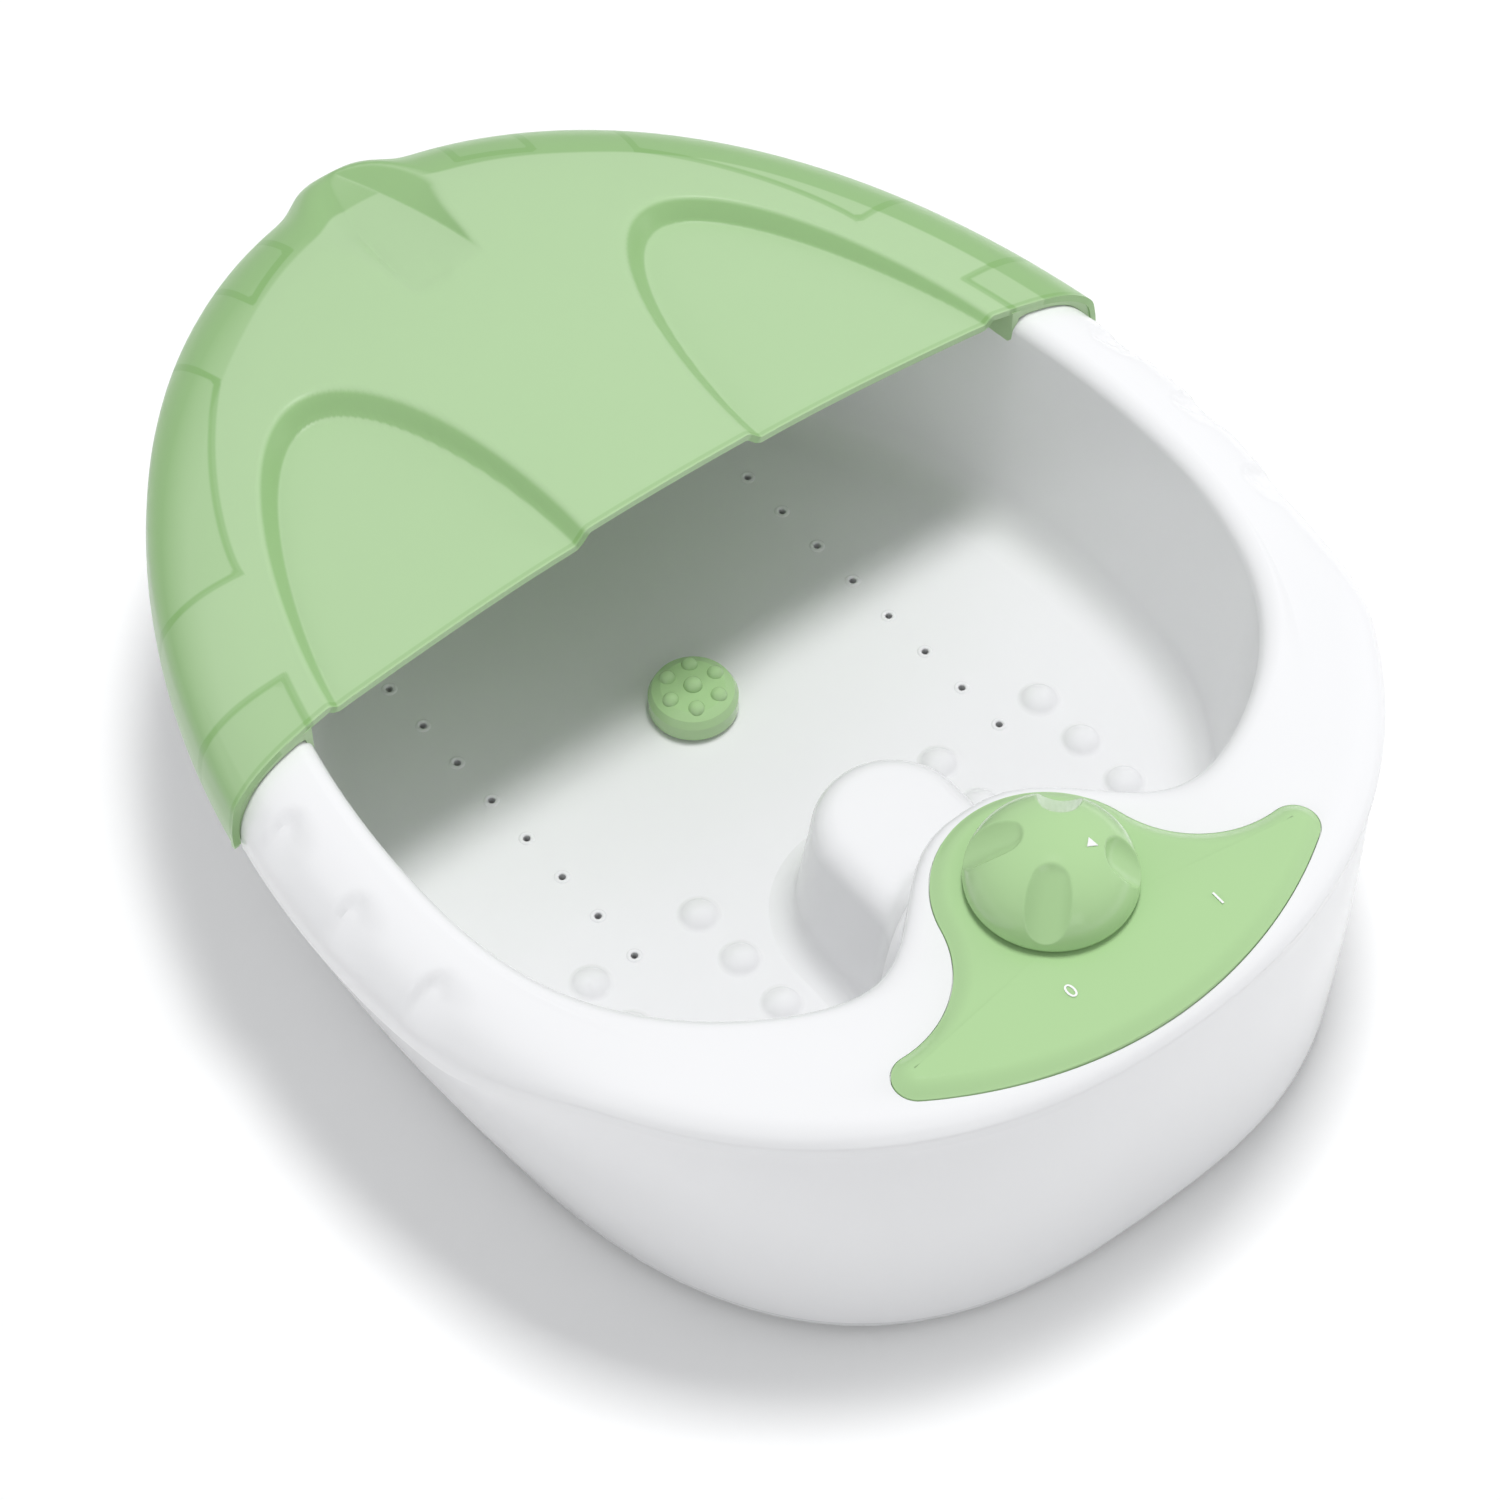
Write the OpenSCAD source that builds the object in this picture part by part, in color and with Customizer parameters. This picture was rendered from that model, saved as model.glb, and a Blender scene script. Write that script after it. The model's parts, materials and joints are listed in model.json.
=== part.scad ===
// Foot spa basin: egg-shaped tub with a rolled rim, a skirt, a clip-on splash guard over the toe end,
// and a bubble blower, heater and rotary switch housed under the heel bulge.
// X is the width, +Y points from the heel to the toes, Z is up from the surface it stands on.

/* [Rim] */
// Width over the rim at its widest section
rim_w = 324; // [310:1:340]
// From the widest section to the heel edge
heel_len = 176; // [172:1:184]
// From the widest section to the toe edge
toe_len = 226; // [216:1:240]
// Height of the rim's inner edge at the sides
rim_h = 106; // [102:1:112]
// Width of the rim's top land at the sides
rim_land = 28; // [26:1:30]
// Width of the heel land that carries the panel
heel_land = 54; // [52:1:56]
// Wall of the tub moulding
tub_wall = 2.6; // [2.2:0.1:3]
// Rise of the rim towards the heel
heel_rise = 3; // [2:0.5:4]
// Rise of the rim towards the toes
toe_rise = 4; // [2:0.5:5]
// Drop from the rim to the lip's lower edge at the sides
lip_side_drop = 25; // [22:1:28]
// Drop from the rim to the lip's lower edge at the heel
lip_heel_drop = 6; // [5:1:8]
// How far the lip stands proud of the skirt
lip_step = 1.6; // [1:0.1:2.5]
// Depth of the finger scallops on the rim's shoulder
scallop_depth = 1.6; // [1:0.1:1.8]
// Distance from one finger scallop to the next
scallop_pitch = 35; // [30:1:38]

/* [Basin] */
// Height of the basin floor
floor_h = 24; // [23:0.5:27]
// Inward draft of the basin wall from rim to floor
basin_draft = 8; // [6:1:10]
// Radius where the basin wall meets the floor
floor_r = 14; // [12:1:16]
// How far the bulge stands into the basin
bulge_d = 40; // [38:1:42]
// Half width of the bulge
bulge_w = 40; // [38:1:42]
// Height of the ridge that runs from the bulge into the basin
ridge_h = 72; // [70:1:76]
// Width of the ridge
ridge_w = 48; // [46:1:52]
// Length of the ridge in front of the bulge's tip
ridge_len = 53; // [50:1:56]
// Diameter of one massage nub
nub_d = 12; // [10:1:14]
// Height of one massage nub
nub_h = 3; // [2:0.5:4]
// Distance between massage nubs
nub_pitch = 20; // [18:1:22]
// Diameter of one bubble hole
bubble_d = 2; // [1.6:0.1:2.4]
// Distance between bubble holes
bubble_pitch = 18; // [15:1:20]

/* [Skirt] */
// Width of the skirt at its lower edge
base_w = 272; // [268:1:278]
// Inset of the skirt's lower edge at the toe
base_toe_inset = 30; // [26:1:34]
// Wall of the skirt
skirt_wall = 2.5; // [2:0.1:3]
// Height of the skirt's lower edge
skirt_z = 5.5; // [5:0.5:7]
// Thickness of the bottom cover
cover_t = 2.5; // [2:0.1:3]
// Diameter of a rubber foot
foot_d = 22; // [18:1:26]
// Diameter of the mains cord that the gland holds
cord_d = 6.5; // [6:0.5:7.5]

/* [Splash guard] */
// Wall of the guard
guard_t = 2.2; // [1.8:0.1:2.6]
// Space between the guard's shoulder and the rim
guard_gap = 2; // [1.6:0.1:2.4]
// Drop from the rim to the guard's lower edge
guard_drop = 23; // [20:1:24]
// From the widest section to the guard's front edge
guard_front = 52; // [50:1:58]
// How far the deck's crown stands above its border
crown_h = 12; // [8:0.5:14]
// Width of a toe arch at the front edge
arch_w = 95; // [90:1:98]
// Length of a toe arch
arch_len = 97; // [90:1:104]
// Distance from the centre line to a toe arch's near side
arch_gap = 29; // [28:1:31]
// Width of the sloped wall round a toe arch
arch_wall = 5; // [4:0.5:6]
// How far the pouring spout stands out
spout_out = 6; // [4:0.5:8]
// Half width of the pouring spout
spout_hw = 17; // [15:1:19]
// Length of the spout's trough across the deck
spout_len = 66; // [60:1:70]
// Depth of the spout's trough at its mouth
spout_depth = 7; // [5:0.5:8]

/* [Panel and knob] */
// Distance from the heel edge to the knob's axis
knob_from_heel = 56; // [55:0.5:57]
// Diameter of the knob
knob_d = 49; // [46:1:52]
// Height of the knob
knob_h = 21; // [19:1:23]
// Gap between the knob and the panel
knob_gap = 1; // [0.8:0.1:1.5]
// Radius of the panel's round part
panel_r = 33.5; // [32:0.5:35]
// Half length of the panel from tail to tail
tail_x = 75; // [72:1:77]
// Radius of the panel's outer edge
tail_arc = 133; // [128:1:140]
// How far the panel stands above the heel land
panel_proud = 3.3; // [2.5:0.1:4]
// How deep the panel sits in its recess
panel_sink = 2.5; // [2:0.1:3]
// Clearance round the panel
panel_fit = 0.3; // [0.2:0.05:0.5]
// Diameter of the switch shaft
shaft_d = 6; // [5:0.5:7]
// Radius of a finger channel on the knob
grip_r = 8.5; // [7.5:0.5:9.5]
// Slope of the finger channels below the horizontal
grip_tilt = 44; // [40:1:48]
// Travel of the knob from off to on
knob_turn = 75; // [60:5:120]

/* [Blower] */
// Diameter of the motor can
motor_d = 34; // [30:1:36]
// Length of the motor can
motor_len = 36; // [34:1:38]
// Diameter of the impeller
fan_d = 56; // [52:1:58]
// Height of the impeller
fan_h = 11; // [9:1:12]
// Number of blades
blades = 12; // [8:1:16]
// Diameter of the motor shaft
spindle_d = 3; // [2.5:0.5:4]
// Outer diameter of the riser hose
hose_d = 13; // [12:0.5:13]
// Wall of the riser hose
hose_wall = 2; // [1.5:0.1:2.5]
// Bend radius of the riser hose
hose_bend = 12; // [11.5:0.5:12.5]

/* [Hidden] */
$fn = 48;
eps = 0.01;
// Gap left between pieces that move or are slid together
slip = 0.3;
// Radial clearance of a turning shaft
run = 0.05;

white = [0.95, 0.95, 0.96];
leaf = [0.62, 0.82, 0.55];
clear_leaf = [0.66, 0.85, 0.6, 0.6];
steel = [0.72, 0.73, 0.75];
black = [0.12, 0.12, 0.13];

guard_out = guard_t + slip;
toe_reach = toe_len + spout_out + guard_out;
// Y of the widest section, so that the whole length is centred on the origin
mid_y = (heel_len - toe_reach) / 2;
knob_y = mid_y - heel_len + knob_from_heel;
bulge_tip = mid_y - heel_len + heel_land + bulge_d;
lip_side_h = rim_h - lip_side_drop;
lip_heel_h = rim_h - lip_heel_drop;
guard_low = rim_h - guard_drop;
deck_top = rim_h + heel_rise;
seat_z = deck_top - panel_sink;
seat_t = 4;
panel_top = deck_top + panel_proud;
cover_z = skirt_z - cover_t;
floor_z = cover_z + cover_t;
floor_under = floor_h - tub_wall;

// Helpers: power that keeps the sign, smooth step and mixing
function spow(v, p) = sign(v) * pow(abs(v), p);
function smooth(u) = let (c = max(0, min(1, u))) c * c * (3 - 2 * c);
function mix(a, b, u) = a + (b - a) * u;

// Egg outline: two half superellipses that meet at the widest section
heel_n = 2.2;
toe_n = 1.95;
function egg(t, hw, heel, toe, nh = heel_n, nt = toe_n) =
  let (n = sin(t) < 0 ? nh : nt, len = sin(t) < 0 ? heel : toe)
  [hw * spow(cos(t), 2 / n), mid_y + len * spow(sin(t), 2 / n)];

// The spout's share at a point near the toe end
function spout_at(p) = p[1] > mid_y + toe_len * 0.6 ? exp(-pow(abs(p[0]) / spout_hw, 4)) : 0;
function spout_push(p) = [p[0], p[1] + spout_out * spout_at(p)];

// How far along the change from side to heel a point lies, and from side to toe
function heel_at(y) = smooth((mid_y - y - 45) / 60);
function toe_at(y) = smooth((y - mid_y - 40) / 160);
function rim_z(y) = rim_h + heel_rise * heel_at(y) + toe_rise * toe_at(y);
function lip_z(y) = mix(lip_side_h, lip_heel_h, heel_at(y));

// Rim outline at an inset from the lip's outer face
function rim_pt(t, e) =
  spout_push(egg(t, rim_w / 2 - e, heel_len - e, toe_len - e));

// Basin outline at an inset from the rim's inner edge, with the heel bulge pushed in
function bulge_at(x, w) = exp(-pow(abs(x) / w, 2.7));
function basin_pt(t, d) =
  let (p = egg(t, rim_w / 2 - rim_land - d, heel_len - heel_land - d, toe_len - rim_land - d, 2.5))
  sin(t) < 0 ? [p[0], p[1] + bulge_d * bulge_at(p[0], bulge_w + min(d, 0))] : spout_push_in(p);
function spout_push_in(p) = [p[0], p[1] + spout_out * 0.5 * spout_at(p)];

// A closed solid through rings of equal count, capped by a fan about a point at each end
module loft(rings, low, high) {
  n = len(rings[0]);
  m = len(rings);
  pts = concat([for (r = rings) each r], [low, high]);
  sides = [for (k = [0:m - 2]) for (i = [0:n - 1])
    let (j = (i + 1) % n)
    each [[k * n + i, (k + 1) * n + j, k * n + j], [k * n + i, (k + 1) * n + i, (k + 1) * n + j]]];
  bottom = [for (i = [0:n - 1]) [m * n, i, (i + 1) % n]];
  top = [for (i = [0:n - 1]) [m * n + 1, (m - 1) * n + (i + 1) % n, (m - 1) * n + i]];
  polyhedron(pts, concat(sides, bottom, top));
}

// The same without caps: the last ring joins the first, for an open-ended wall
module band(rings) {
  n = len(rings[0]);
  m = len(rings);
  sides = [for (k = [0:m - 1]) for (i = [0:n - 1])
    let (j = (i + 1) % n, q = (k + 1) % m)
    each [[k * n + i, q * n + j, k * n + j], [k * n + i, q * n + i, q * n + j]]];
  polyhedron([for (r = rings) each r], sides);
}

// A bar of a given width between two points in plan
module bar(a, b, w) {
  d = b - a;
  translate(a)
    rotate(atan2(d[1], d[0]))
      translate([-w / 2, -w / 2])
        square([norm(d) + w, w]);
}

// Puts children on both sides of the centre line
module both_sides() {
  children();
  mirror([1, 0, 0]) children();
}

// ---- Tub ----
// Ring angles, closer together round the spout, and shared by the tub, skirt and guard
toe_ts = concat([for (a = [0:4.5:67.5]) a], [for (a = [72:2:108]) a], [for (a = [112.5:4.5:180]) a]);
ring_t = concat(toe_ts, [for (a = [184.5:4.5:355.5]) a]);

// Rim section: inset from the lip's face, drop at the sides and drop at the heel
rim_steps = [
  [0, 21, 5.5], [0.4, 17, 4.2], [2, 12.5, 2.2], [5, 7.8, 0.6], [9, 4.2, 0], [15, 1.7, 0], [22, 0.5, 0]
];
lip_wall = 2.6;
function rim_top(y, s) = rim_z(y) - mix(s[1], s[2], heel_at(y));
function spout_dip(p) = spout_depth * 0.8 * spout_at(p);
function rim_ring(s) = [for (t = ring_t)
  let (p = rim_pt(t, s[0]))
  [p[0], p[1], rim_top(p[1], s) - spout_dip(p)]];
function rim_under(s) = [for (t = ring_t)
  let (p = rim_pt(t, s[0] + lip_wall * (s[0] < 15 ? 1 : 0.3)))
  [p[0], p[1], rim_top(p[1], s) - tub_wall * (s[0] > 1 ? 1 : 0.2) - spout_dip(p)]];
function lip_ring(e) = [for (t = ring_t) let (p = rim_pt(t, e)) [p[0], p[1], lip_z(p[1])]];

// Basin section at a wall offset: the drafted wall, then the fillet into the floor
fillet_d = basin_draft * (rim_h - floor_h - floor_r) / (rim_h - floor_h);
function wall_ring(d, drop) = [for (t = ring_t)
  let (p = basin_pt(t, d))
  [p[0], p[1], rim_z(p[1]) - drop - spout_dip(p)]];
function fillet_ring(a, s) = [for (t = ring_t)
  let (p = basin_pt(t, fillet_d + floor_r - (floor_r + s) * cos(a)))
  [p[0], p[1], floor_h + floor_r - (floor_r + s) * sin(a)]];

pole = [0, mid_y + 25];
boss_d = 9;
boss_at = [
  [rim_w / 2 - 67, mid_y - 60], [rim_w / 2 - 62, mid_y + 40], [rim_w / 2 - 100, mid_y + 140]
];
screw_d = 3;
screw_head = 1.8;
screw_grip = 12;
// Extra width of a hole that a screw bites into, and of one that it passes through
bite = 0.1;
pass = 0.4;

module tub_shell()
  loft(
    concat(
      [for (a = [90:-22.5:0]) fillet_ring(a, tub_wall)],
      [wall_ring(-tub_wall, 6)],
      [for (k = [6:-1:0]) rim_under(rim_steps[k])],
      [lip_ring(lip_wall), lip_ring(0)],
      [for (k = [0:6]) rim_ring(rim_steps[k])],
      [wall_ring(-2.5, 0), wall_ring(-0.7, 0.7), wall_ring(0, 3)],
      [for (a = [0:22.5:90]) fillet_ring(a, 0)]
    ),
    [pole[0], pole[1], floor_under],
    [pole[0], pole[1], floor_h]
  );

// Ridge: a long hump with a rounded end, hollow below for the riser hose
ridge_end = bulge_tip + ridge_len;
module ridge(s) {
  r = ridge_w / 2 - s;
  top = ridge_h - s;
  y0 = bulge_tip - 12;
  y1 = ridge_end - s;
  foot = floor_h - tub_wall - s;
  profile = [
    [0, top], [r - 8, top], [r - 3.5, top - 2], [r - 1, top - 6], [r, top - 12], [r + 3, foot], [0, foot]
  ];
  translate([0, y1 - r - 3, 0])
    rotate_extrude()
      polygon(profile);
  translate([0, y1 - r - 3, 0])
    rotate([90, 0, 0])
      linear_extrude(y1 - r - 3 - y0)
        polygon(concat(profile, [for (k = [5:-1:0]) [-profile[k][0], profile[k][1]]]));
}

// Nubs in each foot well, and the two rows of bubble holes beside them
well_x = rim_w / 4 - 13;
strip_x = rim_w / 4 - 11;
module nub() {
  ball = (nub_d * nub_d / 4 + nub_h * nub_h) / (2 * nub_h);
  translate([0, 0, nub_h - ball])
    intersection() {
      sphere(ball, $fn = 40);
      translate([0, 0, ball - nub_h - 0.5])
        cylinder(d = nub_d + 4, h = nub_h + 1);
    }
}
module nub_field()
  both_sides()
    for (row = [-1:1]) for (col = [0:1])
      translate([well_x - nub_pitch * (col * 2 - 0.9), mid_y - 40 + row * nub_pitch, floor_h])
        nub();
bubble_rows = 8;
bubble_y0 = mid_y - 20;

// Finger scallop: a thumb-wide groove down the rim's shoulder
scallop_r = 11;
module scallop(y) {
  p = rim_pt(asin(max(-1, min(1, (y - mid_y) / toe_len))), 6);
  translate([rim_w / 2 - 6 - (rim_w / 2 - 6 - p[0]), y, rim_h - 7])
    rotate([0, 36, 0])
      translate([-2, 0, scallop_r - scallop_depth])
        rotate([0, 90, 0])
          union() {
            sphere(scallop_r, $fn = 40);
            cylinder(r = scallop_r, h = 30, $fn = 40);
          }
}

module tub() color(white)
  difference() {
    union() {
      difference() {
        union() {
          tub_shell();
          ridge(0);
        }
        ridge(tub_wall);
      }
      translate([0, 0, seat_z - seat_t])
        linear_extrude(seat_t + eps)
          polygon(whale(-2));
      both_sides() for (b = boss_at)
        translate([b[0], b[1], skirt_z])
          cylinder(d = boss_d, h = floor_h - skirt_z - 0.8);
      nub_field();
      translate([0, attach_y, floor_h - 0.5])
        cylinder(d = post_d, h = post_h + 0.5);
    }
    translate([0, 0, seat_z])
      linear_extrude(30)
        polygon(whale(0));
    translate([0, knob_y, seat_z - seat_t - 1])
      cylinder(d = bush_d + 0.4, h = seat_t + 2);
    both_sides() for (b = boss_at)
      translate([b[0], b[1], skirt_z - 1])
        cylinder(d = screw_d + bite, h = screw_grip + 1);
    both_sides() for (row = [0:bubble_rows - 1])
      translate([strip_x, bubble_y0 + row * bubble_pitch, floor_h - tub_wall - 1])
        cylinder(d = bubble_d, h = tub_wall + 2, $fn = 24);
    both_sides() for (k = [-2:0])
      scallop(mid_y + 29 + k * scallop_pitch);
    for (x = [-1, 1]) for (y = [-1, 1])
      panel_screw_at(x, y)
        translate([0, 0, -1])
          cylinder(d = screw_d + pass, h = seat_t + 2);
  }

// ---- Skirt ----
function skirt_width(f) = mix(rim_w / 2 - lip_step, base_w / 2, pow(f, 1.3));
function skirt_pt(t, f, s) =
  let (p = egg(t, skirt_width(f) - s,
      heel_len - mix(lip_step, 3, f) - s,
      toe_len - mix(lip_step, base_toe_inset, pow(f, 1.3)) - s,
      mix(heel_n, 2.7, f), mix(toe_n, 2.1, f)))
  [p[0], p[1] + spout_out * pow(1 - f, 2) * spout_at(p)];
function skirt_ring(f, s, up) = [for (t = ring_t)
  let (p = skirt_pt(t, f, s)) [p[0], p[1], mix(lip_z(p[1]) - slip, skirt_z, f) + up]];
tongue_h = 2.5;
tongue_in = lip_wall + slip - lip_step;

// Gland: where the mains cord leaves low on one side, square to the skirt's slope
gland_z = skirt_z + 9.6;
gland_f = (lip_side_h - gland_z) / (lip_side_h - skirt_z);
gland_x = skirt_width(gland_f);
gland_tilt = atan(
  1.3 * pow(gland_f, 0.3) * (rim_w / 2 - lip_step - base_w / 2) / (lip_side_h - skirt_z)
);
gland_r = cord_d;
gland_cut = 4 * gland_r;
module at_gland()
  translate([gland_x, mid_y, gland_z])
    rotate([0, 90 + gland_tilt, 0])
      children();

module outer_housing() color(white)
  difference() {
    band(concat(
      [for (f = [1, 0.85, 0.6, 0.35, 0.15, 0]) skirt_ring(f, 0, 0)],
      [skirt_ring(0, tongue_in, 0.01), skirt_ring(0, tongue_in, tongue_h)],
      [skirt_ring(0, skirt_wall, tongue_h), skirt_ring(0, skirt_wall, 0)],
      [for (f = [0.15, 0.35, 0.6, 0.85, 1]) skirt_ring(f, skirt_wall, 0)]
    ));
    at_gland()
      translate([0, 0, -gland_cut / 2])
        cylinder(r = gland_r + 0.1, h = gland_cut);
    at_gland()
      translate([0, -gland_r - 0.1, -gland_cut / 2])
        cube([gland_cut, 2 * gland_r + 0.2, gland_cut]);
  }

// ---- Bottom cover ----
foot_at = [[base_w / 2 - 42, mid_y - heel_len + 62], [base_w / 2 - 52, mid_y + toe_len - 108]];
intake_y = knob_y;
cover_rib = 1.8;
cover_rib_h = 6;
vent_w = 2.4;
vent_l = 32;
vent_pitch = 5;
foot_stud = 6;
stud_head = 3;
module cover_outline(s) polygon([for (t = ring_t) skirt_pt(t, 1, s)]);
module bottom_cover() color(white)
  difference() {
    union() {
      translate([0, 0, cover_z])
        linear_extrude(cover_t)
          cover_outline(1.5);
      translate([0, 0, cover_z])
        linear_extrude(cover_t + cover_rib_h)
          difference() {
            cover_outline(skirt_wall + slip);
            cover_outline(skirt_wall + slip + cover_rib);
          }
      for (k = mount_at)
        translate([k[0], k[1], cover_z])
          cylinder(d = 8, h = cover_t + 1);
    }
    both_sides() for (b = boss_at)
      translate([b[0], b[1], cover_z - 1])
        cylinder(d = screw_d + pass, h = cover_t + 2);
    both_sides() for (f = foot_at)
      translate([f[0], f[1], cover_z - 1])
        cylinder(d = foot_stud + bite, h = cover_t + 2);
    for (k = [-3:3])
      translate([-vent_l / 2, intake_y + k * vent_pitch - vent_w / 2, cover_z - 1])
        cube([vent_l, vent_w, cover_t + 2]);
    at_gland()
      translate([0, 0, -20])
        cylinder(r = gland_r + flange_w + 1.1, h = gland_cut);
  }

module rubber_feet() color(black)
  both_sides() for (f = foot_at)
    translate([f[0], f[1], 0]) {
      cylinder(d = foot_d, h = cover_z);
      cylinder(d = foot_stud, h = floor_z + stud_head / 2);
      translate([0, 0, floor_z])
        cylinder(d1 = foot_stud + 2, d2 = foot_stud - 1, h = stud_head);
    }

module screw(len) {
  cylinder(d = 2 * screw_d + 0.5, h = screw_head);
  translate([0, 0, screw_head - eps])
    cylinder(d = screw_d, h = len);
}
module cover_screws() color(steel)
  both_sides() for (b = boss_at)
    translate([b[0], b[1], cover_z - screw_head])
      screw(screw_grip);

flange_t = 2;
flange_w = 2.5;
gland_nose = 3;
module cord_gland() color(black)
  at_gland()
    difference() {
      union() {
        translate([0, 0, -skirt_wall - flange_t - 0.4])
          cylinder(r = gland_r + flange_w, h = flange_t);
        translate([0, 0, -skirt_wall - flange_t - 0.4])
          cylinder(r = gland_r - 0.1, h = skirt_wall + 2 * flange_t + 0.8);
        translate([0, 0, 0.6])
          cylinder(r1 = gland_r + flange_w, r2 = gland_r + 0.5, h = gland_nose);
      }
      translate([0, 0, -skirt_wall - 2 * flange_t])
        cylinder(d = cord_d + 0.2, h = skirt_wall + 4 * flange_t + gland_nose);
    }

// ---- Splash guard ----
guard_ts = concat(toe_ts, [for (a = [200:20:340]) a]);
border_e = 26;
border_z = rim_h + guard_gap + guard_t + 0.6;
// Shoulder section: inset, drop below the border, and the share of the toe rise that it takes
guard_steps = [
  [-guard_out, border_z - guard_low, 0], [-guard_out, 22.8, 0.4], [0.6 - guard_out, 17.8, 0.7],
  [-0.5, 12.3, 1], [3.5, 7.7, 1], [9.5, 4, 1], [17, 1.6, 1], [border_e, 0, 1]
];
// The same section on the guard's inner face
under_in = [guard_t, guard_t, 2.1, 1.7, 1.2, 0.7, 0.3, 0.1];
under_down = [12, 0.2, 0.6, 1.3, 1.8, 2.1, 2.2, 2.2];
function guard_ring(k, inner) = [for (t = guard_ts)
  let (s = guard_steps[k], share = guard_t / 2.2 * inner, p = rim_pt(t, s[0] + under_in[k] * share))
  [p[0], p[1], border_z - s[1] - under_down[k] * share + toe_rise * toe_at(p[1]) * s[2]]];
function deck_z(p, s) = border_z + toe_rise * toe_at(p[1]) + crown_h * (1 - s * s);
function deck_ring(s, down) = [for (t = guard_ts)
  let (p = rim_pt(t, border_e), q = [p[0] * s, mid_y + (p[1] - mid_y) * s])
  [q[0], q[1], deck_z(q, s) - down]];
module guard_form(inner)
  loft(
    concat(
      [for (k = [0:7]) guard_ring(k, inner)],
      [for (s = [0.88, 0.74, 0.58, 0.4, 0.2]) deck_ring(s, guard_t * inner)]
    ),
    [0, mid_y, guard_low - 12 * inner],
    [0, mid_y, border_z + crown_h - guard_t * inner]
  );

// Toe arch outline: a leaning half superellipse, open towards the heel
arch_cx = arch_gap + arch_w / 2;
arch_lean = 10.5;
arch_y = mid_y + guard_front;
function arch_half(v) = sqrt(max(0, 1 - pow(v, 1.38)));
function arch_pt(u, s) =
  let (v = sin(u), len = arch_len - s, half = arch_w / 2 - s, w = (cos(u) < 0 ? -1 : 1) * arch_half(abs(v)))
  [arch_cx - arch_lean * v + half * w, arch_y + len * v];
function arch_plane(p) = border_z + 3.2 - 0.084 * (p[0] - arch_cx + arch_lean) - 0.057 * (p[1] - arch_y);
function arch_ring(s, up) = [for (q = concat(
    [[arch_cx + arch_w / 2 - s, arch_y - 16]],
    [for (u = [0:10:180]) arch_pt(u, s)],
    [[arch_cx - arch_w / 2 + s, arch_y - 16]]))
  [q[0], q[1], arch_plane(q) + up]];
module arch_plug(down)
  loft(
    [arch_ring(arch_wall - 0.75 * down, -down), arch_ring(-arch_wall * 1.2 - 0.75 * down, 12 - down)],
    [arch_cx - 5, arch_y + 25, arch_plane([arch_cx - 5, arch_y + 25]) - down],
    [arch_cx - 5, arch_y + 25, arch_plane([arch_cx - 5, arch_y + 25]) + 12 - down]
  );

// Spout trough: its floor falls towards the toe edge
spout_y1 = mid_y + toe_reach;
spout_y0 = spout_y1 - spout_len;
spout_z1 = border_z + toe_rise - spout_depth;
spout_z0 = border_z + toe_rise + 3.2;
function spout_floor(y) = mix(spout_z0, spout_z1, (y - spout_y0) / spout_len);
function spout_section(y, half, down) = [for (q = [
    [1, 2, 9], [-1, 2, 9], [-1, -3, 1], [-1, -6, 0], [1, -6, 0], [1, -3, 1]])
  [q[0] * (half + q[1] + 0.75 * down), y, spout_floor(y) + q[2] - down]];
module spout_plug(down)
  loft(
    [spout_section(spout_y1 + 8, spout_hw, down), spout_section(spout_y0 - 4, spout_hw * 0.45, down)],
    [0, spout_y1 + 8, spout_floor(spout_y1 + 8) + 4 - down],
    [0, spout_y0 - 4, spout_floor(spout_y0 - 4) + 4 - down]
  );
module guard_plugs(down) {
  both_sides() arch_plug(down);
  spout_plug(down);
}

// Everything behind the guard's front edge, which sweeps back towards the sides
module front_cut()
  translate([0, 0, guard_low - 40])
    linear_extrude(120)
      polygon([
        [-rim_w, mid_y - heel_len - 20], [rim_w, mid_y - heel_len - 20], [rim_w, arch_y - 7],
        [rim_w / 2, arch_y - 6], [rim_w / 2 - 14, arch_y - 4.8], [rim_w / 2 - 26, arch_y - 3],
        [rim_w / 2 - 40, arch_y - 0.5], [0, arch_y + 1], [-rim_w / 2 + 40, arch_y - 0.5],
        [-rim_w / 2 + 26, arch_y - 3], [-rim_w / 2 + 14, arch_y - 4.8], [-rim_w / 2, arch_y - 6],
        [-rim_w, arch_y - 7]
      ]);

// Space that the rim takes, with the slip that the guard's ribs leave round it
rim_inner = [
  [rim_land - 2.5, 0], [rim_land - 0.7, 0.7], [rim_land, 3], [rim_land + 1.5, 14], [rim_land + 5, 48]
];
function slip_ring(e, drop) = [for (t = guard_ts)
  let (p = rim_pt(t, e - (e < 15 ? slip : -slip)))
  [p[0], p[1], rim_z(p[1]) - drop + slip]];
module rim_space()
  loft(
    concat([slip_ring(0, 50)], [for (s = concat(rim_steps, rim_inner)) slip_ring(s[0], s[1])]),
    [0, mid_y, rim_h - 50],
    [0, mid_y, rim_h - 48]
  );

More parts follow.
